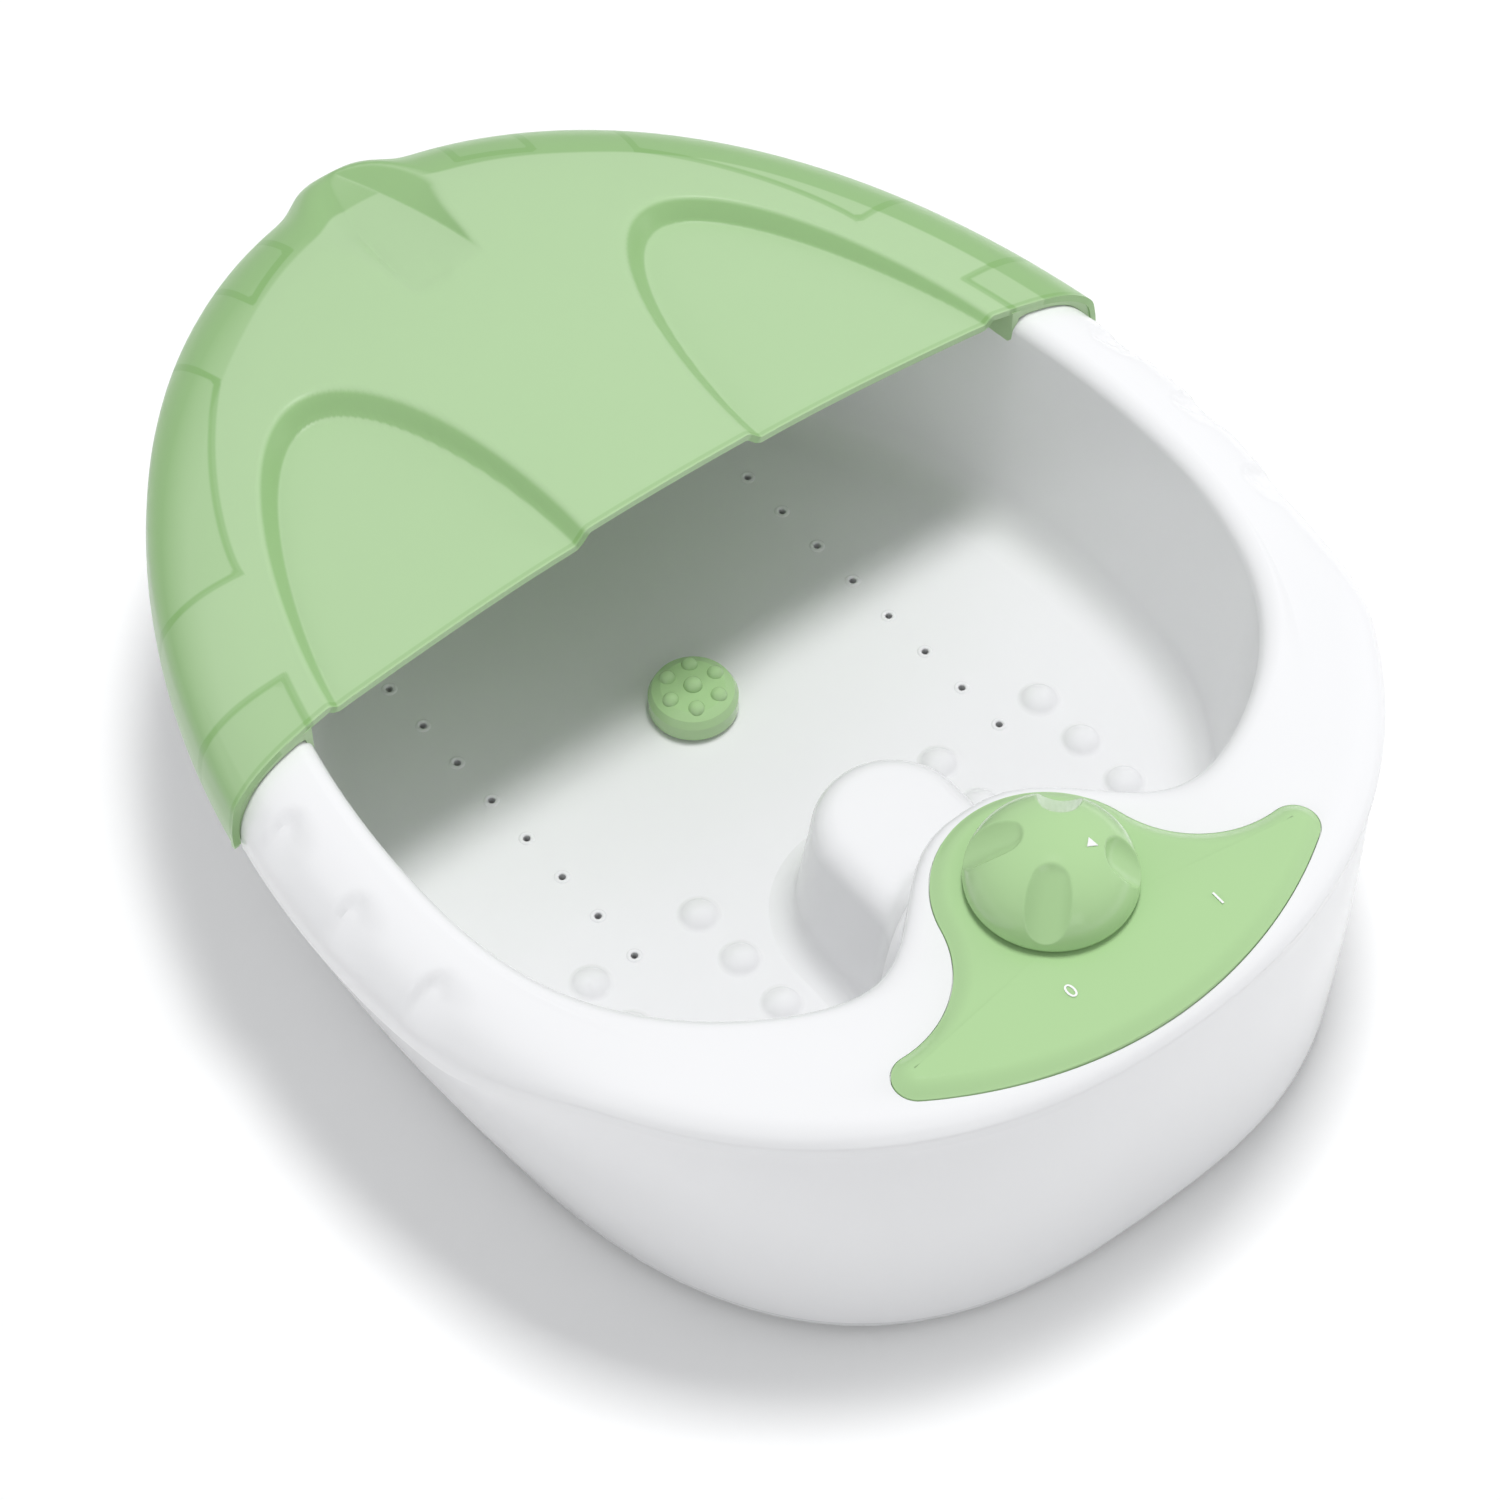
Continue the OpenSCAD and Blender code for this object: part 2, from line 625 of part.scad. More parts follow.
// Ribs: walled pockets over the rim, open to the outer wall, that stand on it
rib_t = 2;
rib_spans = [[71, 79], [34, 59]];
finger_z = rim_h - 11;
finger_e = rim_land + 3.2;
module chain(pts)
  for (k = [0:len(pts) - 2])
    bar(pts[k], pts[k + 1], rib_t);
module guard_ribs()
  difference() {
    intersection() {
      guard_form(0.5);
      both_sides() {
        translate([0, 0, rim_h - 20])
          linear_extrude(50)
            for (span = rib_spans)
              chain([
                rim_pt(span[0], 3), rim_pt(span[0], border_e), rim_pt((span[0] + span[1]) / 2, border_e),
                rim_pt(span[1], border_e), rim_pt(span[1], 3)
              ]);
        // The foremost pocket follows the front edge and has a finger inside the rim
        translate([0, 0, finger_z])
          linear_extrude(40)
            chain([
              [rim_w / 2 - 1.5, arch_y - 3.4], [rim_w / 2 - 13, arch_y - 2.4], [rim_w / 2 - 25, arch_y - 0.6],
              rim_pt(16.3, finger_e), rim_pt(18.8, finger_e), rim_pt(21.5, finger_e), rim_pt(22.5, 3)
            ]);
      }
    }
    rim_space();
  }

module splash_guard() color(clear_leaf)
  difference() {
    union() {
      difference() {
        guard_form(0);
        guard_plugs(0);
        difference() {
          guard_form(1);
          guard_plugs(guard_t);
        }
      }
      guard_ribs();
    }
    front_cut();
  }

// ---- Control panel ----
// Whale-tail outline at an inset: outer arc, round tail tips, hollow sides and the round part about the knob
tip_r = 7.5;
hollow_r = 34;
panel_back = 52.5;
arc_cy = tail_arc - panel_back;
tip_cx = tail_x - tip_r;
tip_cy = arc_cy - sqrt(pow(tail_arc - tip_r, 2) - tip_cx * tip_cx);
tip_far = norm([tip_cx, tip_cy]);
hollow_a = atan2(tip_cy, tip_cx) + acos(
  (pow(panel_r + hollow_r, 2) + pow(tip_far, 2) - pow(tip_r + hollow_r, 2))
  / (2 * (panel_r + hollow_r) * tip_far)
);
hollow_c = (panel_r + hollow_r) * [cos(hollow_a), sin(hollow_a)];
tip_a0 = atan2(tip_cy - arc_cy, tip_cx);
tip_a1 = atan2(hollow_c[1] - tip_cy, hollow_c[0] - tip_cx);
function arc(c, r, a0, a1, n) = [for (k = [0:n])
  let (a = mix(a0, a1, k / n))
  [c[0] + r * cos(a), c[1] + r * sin(a)]];
function whale_half(s) = concat(
  arc([0, arc_cy], tail_arc - s, -90, tip_a0, 9),
  [for (k = [1:7]) arc([tip_cx, tip_cy], tip_r - s, tip_a0, tip_a1, 8)[k]],
  arc(hollow_c, hollow_r + s, tip_a1 - 180, hollow_a - 180, 8),
  [for (k = [1:7]) arc([0, 0], panel_r - s, hollow_a, 90, 8)[k]]
);
function whale(s) = let (h = whale_half(s), n = len(h)) concat(
  [for (p = h) [p[0], knob_y + p[1]]],
  [[0, knob_y + panel_r - s]],
  [for (k = [n - 1:-1:1]) [-h[k][0], knob_y + h[k][1]]]
);
function whale_ring(s, z) = [for (p = whale(s)) [p[0], p[1], z]];

panel_grip = 3;
module panel_screw_at(x, y)
  translate([x * (y < 0 ? 58 : 24), knob_y + (y < 0 ? -29 : 14), seat_z - seat_t])
    children();

module control_panel() color(leaf)
  difference() {
    loft(
      [
        whale_ring(panel_fit, seat_z), whale_ring(panel_fit, panel_top - 2.4),
        whale_ring(panel_fit + 0.7, panel_top - 1.3), whale_ring(panel_fit + 2.2, panel_top - 0.5),
        whale_ring(panel_fit + 4.3, panel_top), whale_ring(panel_fit + 6.5, panel_top + 0.2)
      ],
      [0, knob_y - 20, seat_z],
      [0, knob_y - 20, panel_top + 0.2]
    );
    translate([0, knob_y, seat_z - 1])
      cylinder(r = nut_r + 1.2, h = 20);
    for (x = [-1, 1]) for (y = [-1, 1])
      panel_screw_at(x, y)
        cylinder(d = screw_d + bite, h = panel_grip + seat_t + 1);
  }

module panel_screws() color(steel)
  for (x = [-1, 1]) for (y = [-1, 1])
    panel_screw_at(x, y)
      translate([0, 0, -screw_head])
        screw(seat_t + panel_grip);

// ---- Knob and switch ----
knob_z = panel_top + 0.2 + knob_gap;
bush_d = 9;
nut_r = 7;
nut_h = 3;
switch_w = 32;
switch_d = 28;
switch_h = 16;
pin_l = 5;
pin_w = 4.8;
pin_t = 0.8;
switch_top = seat_z - seat_t;
knob_bore = knob_h - 8;
bush_out = 5;
disc_r = 8.5;
// Depth of the stop disc below the switch's top
disc_z = 9;
disc_h = 3;
disc_room = 0.4;
lug_a = 45;
lug_w = 3;
lug_out = 3;
slot_half = asin(lug_w / 2 / disc_r) + 4;
module at_knob() translate([0, knob_y, 0]) children();
module shaft_section(extra)
  difference() {
    circle(d = shaft_d + 2 * extra);
    translate([shaft_d / 2 - 1.2 + extra, -shaft_d])
      square(2 * shaft_d);
  }
module knob() color(leaf)
  at_knob()
    difference() {
      translate([0, 0, knob_z])
        rotate_extrude()
          polygon(concat(
            [[0, 0], [knob_d / 2 - 1.2, 0], [knob_d / 2 - 0.3, 0.6], [knob_d / 2, 2]],
            [for (a = [6:6:90]) [knob_d / 2 * pow(cos(a), 0.9), 2 + (knob_h - 2) * pow(sin(a), 1.05)]]
          ));
      // Four finger channels that run from the crown down to the lower band
      for (a = [45:90:315])
        rotate(a)
          translate([knob_d * 0.337, 0, knob_z + knob_h * 1.11])
            rotate([0, 90 + grip_tilt, 0])
              rotate_extrude()
                polygon(concat(
                  [for (b = [-90:15:0]) grip_r * [cos(b), sin(b)]],
                  [[grip_r, knob_d / 2], [0, knob_d / 2]]
                ));
      translate([0, 0, knob_z - 1])
        difference() {
          cylinder(r = knob_d / 2 - 3, h = 5);
          cylinder(r = shaft_d / 2 + 3, h = 5);
        }
      translate([0, 0, knob_z - 1])
        linear_extrude(knob_bore + 1)
          shaft_section(run);
    }

module switch_shaft() color(steel)
  at_knob() {
    translate([0, 0, switch_top - disc_z + disc_h])
      cylinder(d = shaft_d, h = disc_z - disc_h + seat_t + bush_out);
    translate([0, 0, switch_top + seat_t + bush_out - eps])
      linear_extrude(knob_z + knob_bore - slip - switch_top - seat_t - bush_out)
        shaft_section(0);
    translate([0, 0, switch_top - disc_z])
      cylinder(r = disc_r, h = disc_h);
    // Stop lug that meets the ends of the slot in the switch body
    rotate(lug_a)
      translate([disc_r - 1, -lug_w / 2, switch_top - disc_z])
        cube([lug_out + 1, lug_w, disc_h]);
  }

module switch_body() color(black)
  at_knob()
    difference() {
      union() {
        translate([-switch_w / 2, -switch_d / 2, switch_top - switch_h])
          cube([switch_w, switch_d, switch_h]);
        translate([0, 0, switch_top - eps])
          cylinder(d = bush_d, h = seat_t + bush_out - 0.5);
        for (x = [-10, 0, 10]) for (y = [-1, 1])
          translate([x - pin_w / 2, y * 8 - pin_t / 2, switch_top - switch_h - pin_l])
            cube([pin_w, pin_t, pin_l + eps]);
      }
      translate([0, 0, switch_top - disc_z])
        cylinder(r = shaft_d / 2 + run, h = disc_z + seat_t + bush_out + 1);
      translate([0, 0, switch_top - disc_z - disc_room])
        cylinder(r = disc_r + disc_room, h = disc_h + 2 * disc_room);
      translate([0, 0, switch_top - disc_z - disc_room])
        rotate(lug_a - knob_turn - slot_half)
          rotate_extrude(angle = knob_turn + 2 * slot_half)
            translate([disc_r - 1, 0])
              square([lug_out + 1 + disc_room, disc_h + 2 * disc_room]);
    }

module switch_nut() color(steel)
  at_knob()
    translate([0, 0, seat_z])
      difference() {
        cylinder(r = nut_r, h = nut_h, $fn = 6);
        translate([0, 0, -1])
          cylinder(d = bush_d + 0.06, h = nut_h + 2);
      }

// ---- Massage attachment ----
attach_y = mid_y + 43;
attach_r = 14;
post_d = 10;
post_h = 8;
module massage_attachment() color(leaf)
  translate([0, attach_y, floor_h + slip])
    difference() {
      union() {
        rotate_extrude()
          polygon([
            [0, 0], [attach_r - 1, 0], [attach_r, 1], [attach_r, 6], [attach_r - 1.2, 8.5],
            [attach_r - 4, 10], [0, 10.6]
          ]);
        for (a = [0:60:300])
          rotate(a)
            translate([8.5, 0, 9.6])
              sphere(2.6, $fn = 24);
        translate([0, 0, 10.2])
          sphere(3, $fn = 24);
      }
      translate([0, 0, -1])
        cylinder(d = post_d + 2 * slip, h = post_h + 1);
    }

// ---- Blower ----
mount_z = cover_z + cover_t + 1;
mount_h = 3;
blower_z = mount_z + mount_h;
plate_t = 2;
fan_z = blower_z + plate_t + 2;
roof_z = fan_z + fan_h + 3;
motor_z = roof_z + plate_t;
can_r = motor_d / 2;
cap_z = motor_z + motor_len;
cap_h = 4;
bearing_r = 4;
volute_r = fan_d / 2 + 5;
mount_r = volute_r + 5;
mount_at = [for (a = [30, 150, 270]) [mount_r * cos(a), knob_y + mount_r * sin(a)]];
intake_r = fan_d / 4 - 1;
hose_y = bulge_tip + 9;
hose_r = hose_d / 2;
bore_r = hose_r - hose_wall;
channel_y = hose_y + 2 * hose_bend;
bend_z = ridge_h - tub_wall - 0.8 - hose_r - hose_bend;
duct_w = 18;
boss_w = 7;
boss_l = 12;
boss_grip = 8;
spigot_l = 8;
spigot_wall = 1.5;
mount_ear = 12;
mount_neck = 4.2;

module blower_outline(s) {
  circle(r = volute_r - s);
  translate([-duct_w / 2 + s, 0])
    square([duct_w - 2 * s, hose_y - knob_y + hose_r + 2 - s]);
}
// Screw bosses round the volute
module at_boss()
  for (a = [0, 180, 235, 305])
    rotate(a)
      translate([volute_r + 1.5, 0, 0])
        children();
module blower_housing() color(black)
  at_knob()
    difference() {
      union() {
        translate([0, 0, blower_z + plate_t])
          at_boss()
            cylinder(d = boss_w, h = boss_l);
        translate([0, 0, blower_z + plate_t])
          linear_extrude(motor_z - blower_z - plate_t)
            blower_outline(0);
        translate([0, hose_y - knob_y, motor_z - eps])
          cylinder(r = bore_r - 0.05, h = spigot_l);
      }
      translate([0, 0, blower_z + plate_t - 1])
        linear_extrude(roof_z - blower_z - plate_t + 1)
          blower_outline(plate_t);
      translate([0, 0, roof_z - 1])
        cylinder(r = bearing_r + 2.5, h = 5);
      translate([0, hose_y - knob_y, roof_z - 1])
        cylinder(r = bore_r - spigot_wall, h = 2 * spigot_l);
      translate([0, 0, blower_z + plate_t - 1])
        at_boss()
          cylinder(d = screw_d + bite, h = plate_t + boss_grip + 1);
    }

module blower_cover() color(black)
  at_knob()
    difference() {
      union() {
        translate([0, 0, blower_z])
          linear_extrude(plate_t)
            blower_outline(0);
        for (k = mount_at)
          translate([k[0], k[1] - knob_y, blower_z])
            cylinder(d = mount_ear, h = plate_t);
        translate([0, 0, blower_z])
          at_boss()
            cylinder(d = boss_w, h = plate_t);
      }
      translate([0, 0, blower_z - 1])
        at_boss()
          cylinder(d = screw_d + pass, h = plate_t + 2);
      translate([0, 0, blower_z - 1])
        cylinder(r = intake_r, h = plate_t + 2);
      for (k = mount_at)
        translate([k[0], k[1] - knob_y, blower_z - 1])
          cylinder(d = mount_neck + 0.2, h = plate_t + 2);
    }

module blower_screws() color(steel)
  at_knob()
    translate([0, 0, blower_z - screw_head])
      at_boss()
        screw(plate_t + boss_grip);

module blower_mounts() color(black)
  for (k = mount_at)
    translate([k[0], k[1], mount_z]) {
      cylinder(d = mount_ear - 3, h = mount_h);
      cylinder(d = mount_neck, h = mount_h + plate_t + 1);
      translate([0, 0, mount_h + plate_t])
        cylinder(d1 = boss_w, d2 = mount_neck + 1, h = 2);
    }

module intake_filter() color("dimgray")
  at_knob()
    translate([0, 0, cover_z + cover_t])
      cylinder(r = intake_r + 3, h = blower_z - cover_z - cover_t - slip);

back_t = 1.6;
blade_t = 1.2;
hub_r = 5;
module impeller() color("gainsboro")
  at_knob() {
    difference() {
      union() {
        translate([0, 0, fan_z + fan_h - back_t])
          cylinder(d = fan_d, h = back_t);
        translate([0, 0, fan_z])
          cylinder(r = hub_r, h = fan_h);
      }
      translate([0, 0, fan_z - 1])
        cylinder(d = spindle_d + 2 * run, h = fan_h + 2);
    }
    // Backward-curved blades, each a slice of a thin ring
    for (k = [0:blades - 1])
      rotate(360 * k / blades)
        translate([0, 0, fan_z])
          linear_extrude(fan_h - back_t + eps)
            intersection() {
              difference() {
                translate([fan_d * 0.27, -fan_d * 0.2])
                  circle(r = fan_d * 0.3);
                translate([fan_d * 0.27, -fan_d * 0.2])
                  circle(r = fan_d * 0.3 - blade_t);
              }
              difference() {
                circle(d = fan_d - 0.6);
                circle(r = intake_r);
              }
              translate([0, -fan_d * 0.1])
                square(fan_d);
            }
  }

module rotor_shaft() color(steel)
  at_knob()
    translate([0, 0, fan_z])
      cylinder(d = spindle_d, h = cap_z + cap_h - 1 - fan_z);

module bearing(z) color("goldenrod")
  at_knob()
    translate([0, 0, z])
      difference() {
        cylinder(r = bearing_r, h = cap_h);
        translate([0, 0, -1])
          cylinder(r = spindle_d / 2 + run, h = cap_h + 2);
      }
module lower_bearing() bearing(motor_z);
module upper_bearing() bearing(cap_z);

can_wall = 1.5;
module motor_can() color(steel)
  at_knob()
    translate([0, 0, motor_z])
      difference() {
        cylinder(r = can_r, h = motor_len);
        translate([0, 0, cap_h])
          cylinder(r = can_r - can_wall, h = motor_len);
        translate([0, 0, -1])
          cylinder(r = bearing_r + 0.02, h = 2 * cap_h);
      }
module motor_end_cap() color("dimgray")
  at_knob()
    translate([0, 0, cap_z])
      difference() {
        union() {
          cylinder(r = can_r, h = cap_h);
          translate([0, 0, -3])
            cylinder(r = can_r - can_wall - 0.05, h = 3 + eps);
        }
        translate([0, 0, -4])
          cylinder(r = can_r - 5, h = 4);
        translate([0, 0, -1])
          cylinder(r = bearing_r + 0.02, h = 2 * cap_h);
      }

armature_r = can_r - 7.5;
magnet_z = motor_z + cap_h + 2;
magnet_h = motor_len - 16;
tooth_w = 8;
module motor_magnets() color("gray")
  at_knob()
    translate([0, 0, magnet_z])
      for (a = [0, 180])
        rotate(a - 65)
          rotate_extrude(angle = 130)
            translate([armature_r + 0.8, 0])
              square([can_r - can_wall - 0.05 - armature_r - 0.8, magnet_h]);

module armature() color("peru")
  at_knob()
    translate([0, 0, magnet_z])
      difference() {
        union() {
          for (a = [0:60:300])
            rotate(a) {
              intersection() {
                cylinder(r = armature_r, h = magnet_h);
                translate([0, -tooth_w / 2, 0])
                  cube([armature_r, tooth_w, magnet_h]);
              }
            }
          cylinder(r = armature_r - 2, h = magnet_h);
        }
        translate([0, 0, -1])
          cylinder(d = spindle_d + 2 * run, h = magnet_h + 2);
      }
commutator_r = 4;
commutator_z = magnet_z + magnet_h + 1;
commutator_h = 6;
slit = 0.5;
brush_w = 4;
module commutator() color("chocolate")
  at_knob()
    translate([0, 0, commutator_z])
      difference() {
        cylinder(r = commutator_r, h = commutator_h);
        translate([0, 0, -1])
          cylinder(d = spindle_d + 2 * run, h = commutator_h + 2);
        for (a = [0:60:300])
          rotate(a)
            translate([commutator_r - 0.6, -slit / 2, -1])
              cube([2, slit, commutator_h + 2]);
      }
module brush_holders() color("dimgray")
  at_knob()
    for (a = [0, 180])
      rotate(a + 90)
        translate([commutator_r + slip, -brush_w / 2, commutator_z + 1])
          cube([can_r - 5.5 - commutator_r, brush_w, cap_z - commutator_z - 1]);

// ---- Air path ----
module hose_leg(y, z0, z1)
  translate([0, y, z0])
    difference() {
      cylinder(r = hose_r, h = z1 - z0);
      translate([0, 0, -1])
        cylinder(r = bore_r, h = z1 - z0 + 2);
    }
channel_top = floor_under;
channel_h = 9;
channel_w = 16;
channel_wall = 1.8;
module riser_hose() color("silver") {
  hose_leg(hose_y, motor_z + 0.2, bend_z);
  hose_leg(channel_y, channel_top + 0.2, bend_z);
  translate([0, hose_y + hose_bend, bend_z])
    rotate([90, 0, 90])
      rotate_extrude(angle = 180)
        translate([hose_bend, 0])
          difference() {
            circle(r = hose_r);
            circle(r = bore_r);
          }
}

channel_end = bubble_y0 + (bubble_rows - 1) * bubble_pitch + 9;
module channel_plan(s) {
  translate([-strip_x - channel_w / 2 + s, channel_y - channel_w / 2 + s])
    square([2 * strip_x + channel_w - 2 * s, channel_w - 2 * s]);
  for (x = [-1, 1])
    translate([x * strip_x - channel_w / 2 + s, channel_y - channel_w / 2 + s])
      square([channel_w - 2 * s, channel_end - channel_y + channel_w / 2 - 2 * s]);
}
module air_channel() color("whitesmoke")
  difference() {
    union() {
      translate([0, 0, channel_top - channel_h])
        linear_extrude(channel_h)
          channel_plan(0);
      translate([0, channel_y, channel_top - eps])
        cylinder(r = bore_r - 0.05, h = spigot_l);
    }
    translate([0, 0, channel_top - channel_h + channel_wall])
      linear_extrude(channel_h - 2 * channel_wall)
        channel_plan(channel_wall);
    translate([0, channel_y, channel_top - 4])
      cylinder(r = bore_r - spigot_wall, h = 2 * spigot_l);
    both_sides() for (row = [0:bubble_rows - 1])
      translate([strip_x, bubble_y0 + row * bubble_pitch, channel_top - 3])
        cylinder(d = bubble_d + 2, h = 5, $fn = 24);
  }

// ---- Heater ----
heater_w = 2 * (strip_x - channel_w / 2 - 6);
heater_y0 = channel_y + channel_w / 2 + 14;
heater_l = channel_end - heater_y0 - 6;
heater_t = 1.5;
element_d = 4.5;
heater_passes = 5;
element_in = 10;
module heater_plate() color(steel)
  translate([-heater_w / 2, heater_y0, floor_under - heater_t])
    cube([heater_w, heater_l, heater_t]);
pass_gap = (heater_w - 2 * element_in) / (heater_passes - 1);
module heater_element() color("firebrick")
  translate([
    -heater_w / 2 + element_in, heater_y0 + pass_gap, floor_under - heater_t - element_d / 2 - run
  ]) {
    for (k = [0:heater_passes - 1])
      translate([k * pass_gap, 0, 0])
        rotate([-90, 0, 0])
          cylinder(d = element_d, h = heater_l - 2 * pass_gap);
    for (k = [0:heater_passes - 2])
      translate([(k + 0.5) * pass_gap, k % 2 == 0 ? heater_l - 2 * pass_gap : 0, 0])
        rotate(k % 2 == 0 ? 0 : 180)
          rotate_extrude(angle = 180)
            translate([pass_gap / 2, 0])
              circle(d = element_d);
  }
stat_d = 15;
stat_h = 7;
tab_w = 3;
tab_t = 0.8;
tab_l = 5;
module thermostat() color("silver")
  translate([-pass_gap / 2, heater_y0 + heater_l - stat_d * 0.6, floor_under - heater_t - stat_h])
    union() {
      cylinder(d = stat_d, h = stat_h);
      for (x = [-1, 1])
        translate([x * stat_d / 4 - tab_w / 2, -tab_t / 2, -tab_l])
          cube([tab_w, tab_t, tab_l + eps]);
    }
fuse_d = 4;
fuse_l = 11;
fuse_lead = 5;
module thermal_fuse() color("silver")
  translate([-fuse_l * 1.5, heater_y0 + fuse_d * 1.25, floor_under - heater_t - fuse_d / 2 - run])
    rotate([0, 90, 0])
      union() {
        cylinder(d = fuse_d, h = fuse_l);
        translate([0, 0, -fuse_lead])
          cylinder(d = 1, h = fuse_l + 2 * fuse_lead);
      }

// ---- Wiring parts on the bottom cover ----
block_w = 14;
block_l = 34;
block_h = 9;
ways = 3;
way_d = 5;
module terminal_block() color("ivory")
  translate([base_w / 2 - 40, mid_y - block_l, floor_z])
    difference() {
      cube([block_w, block_l, block_h]);
      for (k = [0.5:1:ways])
        translate([block_w / 2, k * block_l / ways, block_h - 4])
          cylinder(d = way_d, h = 6);
    }
board_x = 44;
board_w = 28;
board_l = 32;
board_t = 1.6;
stand_d = 4;
stand_h = 2;
capacitor_d = 8;
bridge_w = 10;
module rectifier_board() color("darkgreen")
  translate([board_x, knob_y - board_l * 0.8, floor_z]) {
    for (x = [stand_d, board_w - stand_d]) for (y = [stand_d, board_l - stand_d])
      translate([x, y, 0])
        cylinder(d = stand_d, h = stand_h + eps);
    translate([0, 0, stand_h])
      cube([board_w, board_l, board_t]);
    // Smoothing capacitor, resistor and bridge rectifier
    translate([0, 0, stand_h + board_t - eps]) {
      translate([8, 8, 0])
        cylinder(d = capacitor_d, h = capacitor_d);
      translate([16, 6, 0])
        cube([8, 3, 7]);
      translate([board_w - bridge_w - stand_d, board_l - bridge_w - stand_d, 0])
        cube([bridge_w, bridge_w, bridge_w / 2]);
    }
  }

tub();
outer_housing();
bottom_cover();
rubber_feet();
cover_screws();
cord_gland();
splash_guard();
control_panel();
panel_screws();
knob();
switch_shaft();
switch_body();
switch_nut();
massage_attachment();
motor_can();
motor_end_cap();
motor_magnets();
armature();
rotor_shaft();
commutator();
lower_bearing();
upper_bearing();
brush_holders();
impeller();
blower_housing();
blower_cover();
blower_screws();
blower_mounts();
riser_hose();
air_channel();
heater_plate();
heater_element();
thermostat();
thermal_fuse();
terminal_block();
rectifier_board();
intake_filter();
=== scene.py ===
import bpy
import bmesh
import json
import math
import numpy as np
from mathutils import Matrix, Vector


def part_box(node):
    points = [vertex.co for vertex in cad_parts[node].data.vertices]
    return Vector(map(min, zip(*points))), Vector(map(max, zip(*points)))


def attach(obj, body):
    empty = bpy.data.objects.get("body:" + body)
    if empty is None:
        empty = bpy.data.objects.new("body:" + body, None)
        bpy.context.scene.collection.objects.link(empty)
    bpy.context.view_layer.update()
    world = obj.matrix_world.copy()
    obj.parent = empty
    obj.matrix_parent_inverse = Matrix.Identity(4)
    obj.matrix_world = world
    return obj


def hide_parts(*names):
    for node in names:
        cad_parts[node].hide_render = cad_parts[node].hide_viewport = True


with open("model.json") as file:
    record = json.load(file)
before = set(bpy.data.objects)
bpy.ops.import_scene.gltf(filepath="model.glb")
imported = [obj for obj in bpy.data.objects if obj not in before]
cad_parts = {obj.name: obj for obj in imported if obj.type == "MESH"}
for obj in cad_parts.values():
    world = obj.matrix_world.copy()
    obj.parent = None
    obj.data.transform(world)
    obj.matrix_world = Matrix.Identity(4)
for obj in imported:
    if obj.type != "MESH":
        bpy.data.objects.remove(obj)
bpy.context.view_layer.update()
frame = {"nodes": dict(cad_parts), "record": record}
print("frame loaded:", len(frame["nodes"]), "nodes")

mm = 0.001

# Sizes shared by the tub, skirt and guard, in millimetres
form = {
    "rimWidth": 324.0, "heelLength": 176.0, "toeLength": 226.0, "rimHeight": 106.0,
    "rimLand": 28.0, "heelLand": 54.0, "heelRise": 3.0, "toeRise": 4.0,
    "lipSide": 81.0, "lipHeel": 100.0, "lipStep": 1.6,
    "floorHeight": 24.0, "draft": 8.0, "floorRadius": 14.0,
    "bulgeDepth": 40.0, "bulgeWidth": 40.0,
    "baseWidth": 272.0, "baseToeInset": 30.0, "skirtBottom": 5.5,
    "spoutOut": 6.0, "spoutHalf": 17.0, "spoutLength": 66.0, "spoutDepth": 7.0, "dipShare": 0.8,
    "heelPower": 2.2, "toePower": 1.95, "basinHeelPower": 2.5, "bulgePower": 2.7,
    "heelFrom": 45.0, "heelOver": 60.0, "toeFrom": 40.0, "toeOver": 160.0,
}
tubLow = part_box("tub")[0]
midY = tubLow.y / mm + form["heelLength"]
rimHalf = form["rimWidth"] / 2


# Curves of the object
def smooth(u):
    c = np.clip(u, 0.0, 1.0)
    return c * c * (3 - 2 * c)


def mix(a, b, u):
    return a + (b - a) * u


def signedPower(v, p):
    return np.sign(v) * np.abs(v) ** p


def egg(t, halfWidth, heel, toe, heelPower, toePower):
    s, c = np.sin(t), np.cos(t)
    power = np.where(s < 0, heelPower, toePower)
    length = np.where(s < 0, heel, toe)
    return halfWidth * signedPower(c, 2 / power), midY + length * signedPower(s, 2 / power)


def spoutAt(x, y):
    near = np.exp(-(np.abs(x) / form["spoutHalf"]) ** 4)
    return np.where(y > midY + form["toeLength"] * 0.6, near, 0.0)


def heelAt(y):
    return smooth((midY - y - form["heelFrom"]) / form["heelOver"])


def toeAt(y):
    return smooth((y - midY - form["toeFrom"]) / form["toeOver"])


def rimHeightAt(y):
    return form["rimHeight"] + form["heelRise"] * heelAt(y) + form["toeRise"] * toeAt(y)


def lipHeightAt(y):
    return mix(form["lipSide"], form["lipHeel"], heelAt(y))


def rimPoint(t, inset):
    x, y = egg(t, rimHalf - inset, form["heelLength"] - inset, form["toeLength"] - inset,
               form["heelPower"], form["toePower"])
    return x, y + form["spoutOut"] * spoutAt(x, y)


def basinPoint(t, inset):
    x, y = egg(t, rimHalf - form["rimLand"] - inset,
               form["heelLength"] - form["heelLand"] - inset,
               form["toeLength"] - form["rimLand"] - inset, form["basinHeelPower"], form["toePower"])
    width = form["bulgeWidth"] + min(inset, 0)
    bulge = form["bulgeDepth"] * np.exp(-(np.abs(x) / width) ** form["bulgePower"])
    push = np.where(np.sin(t) < 0, bulge, form["spoutOut"] * 0.5 * spoutAt(x, y))
    return x, y + push


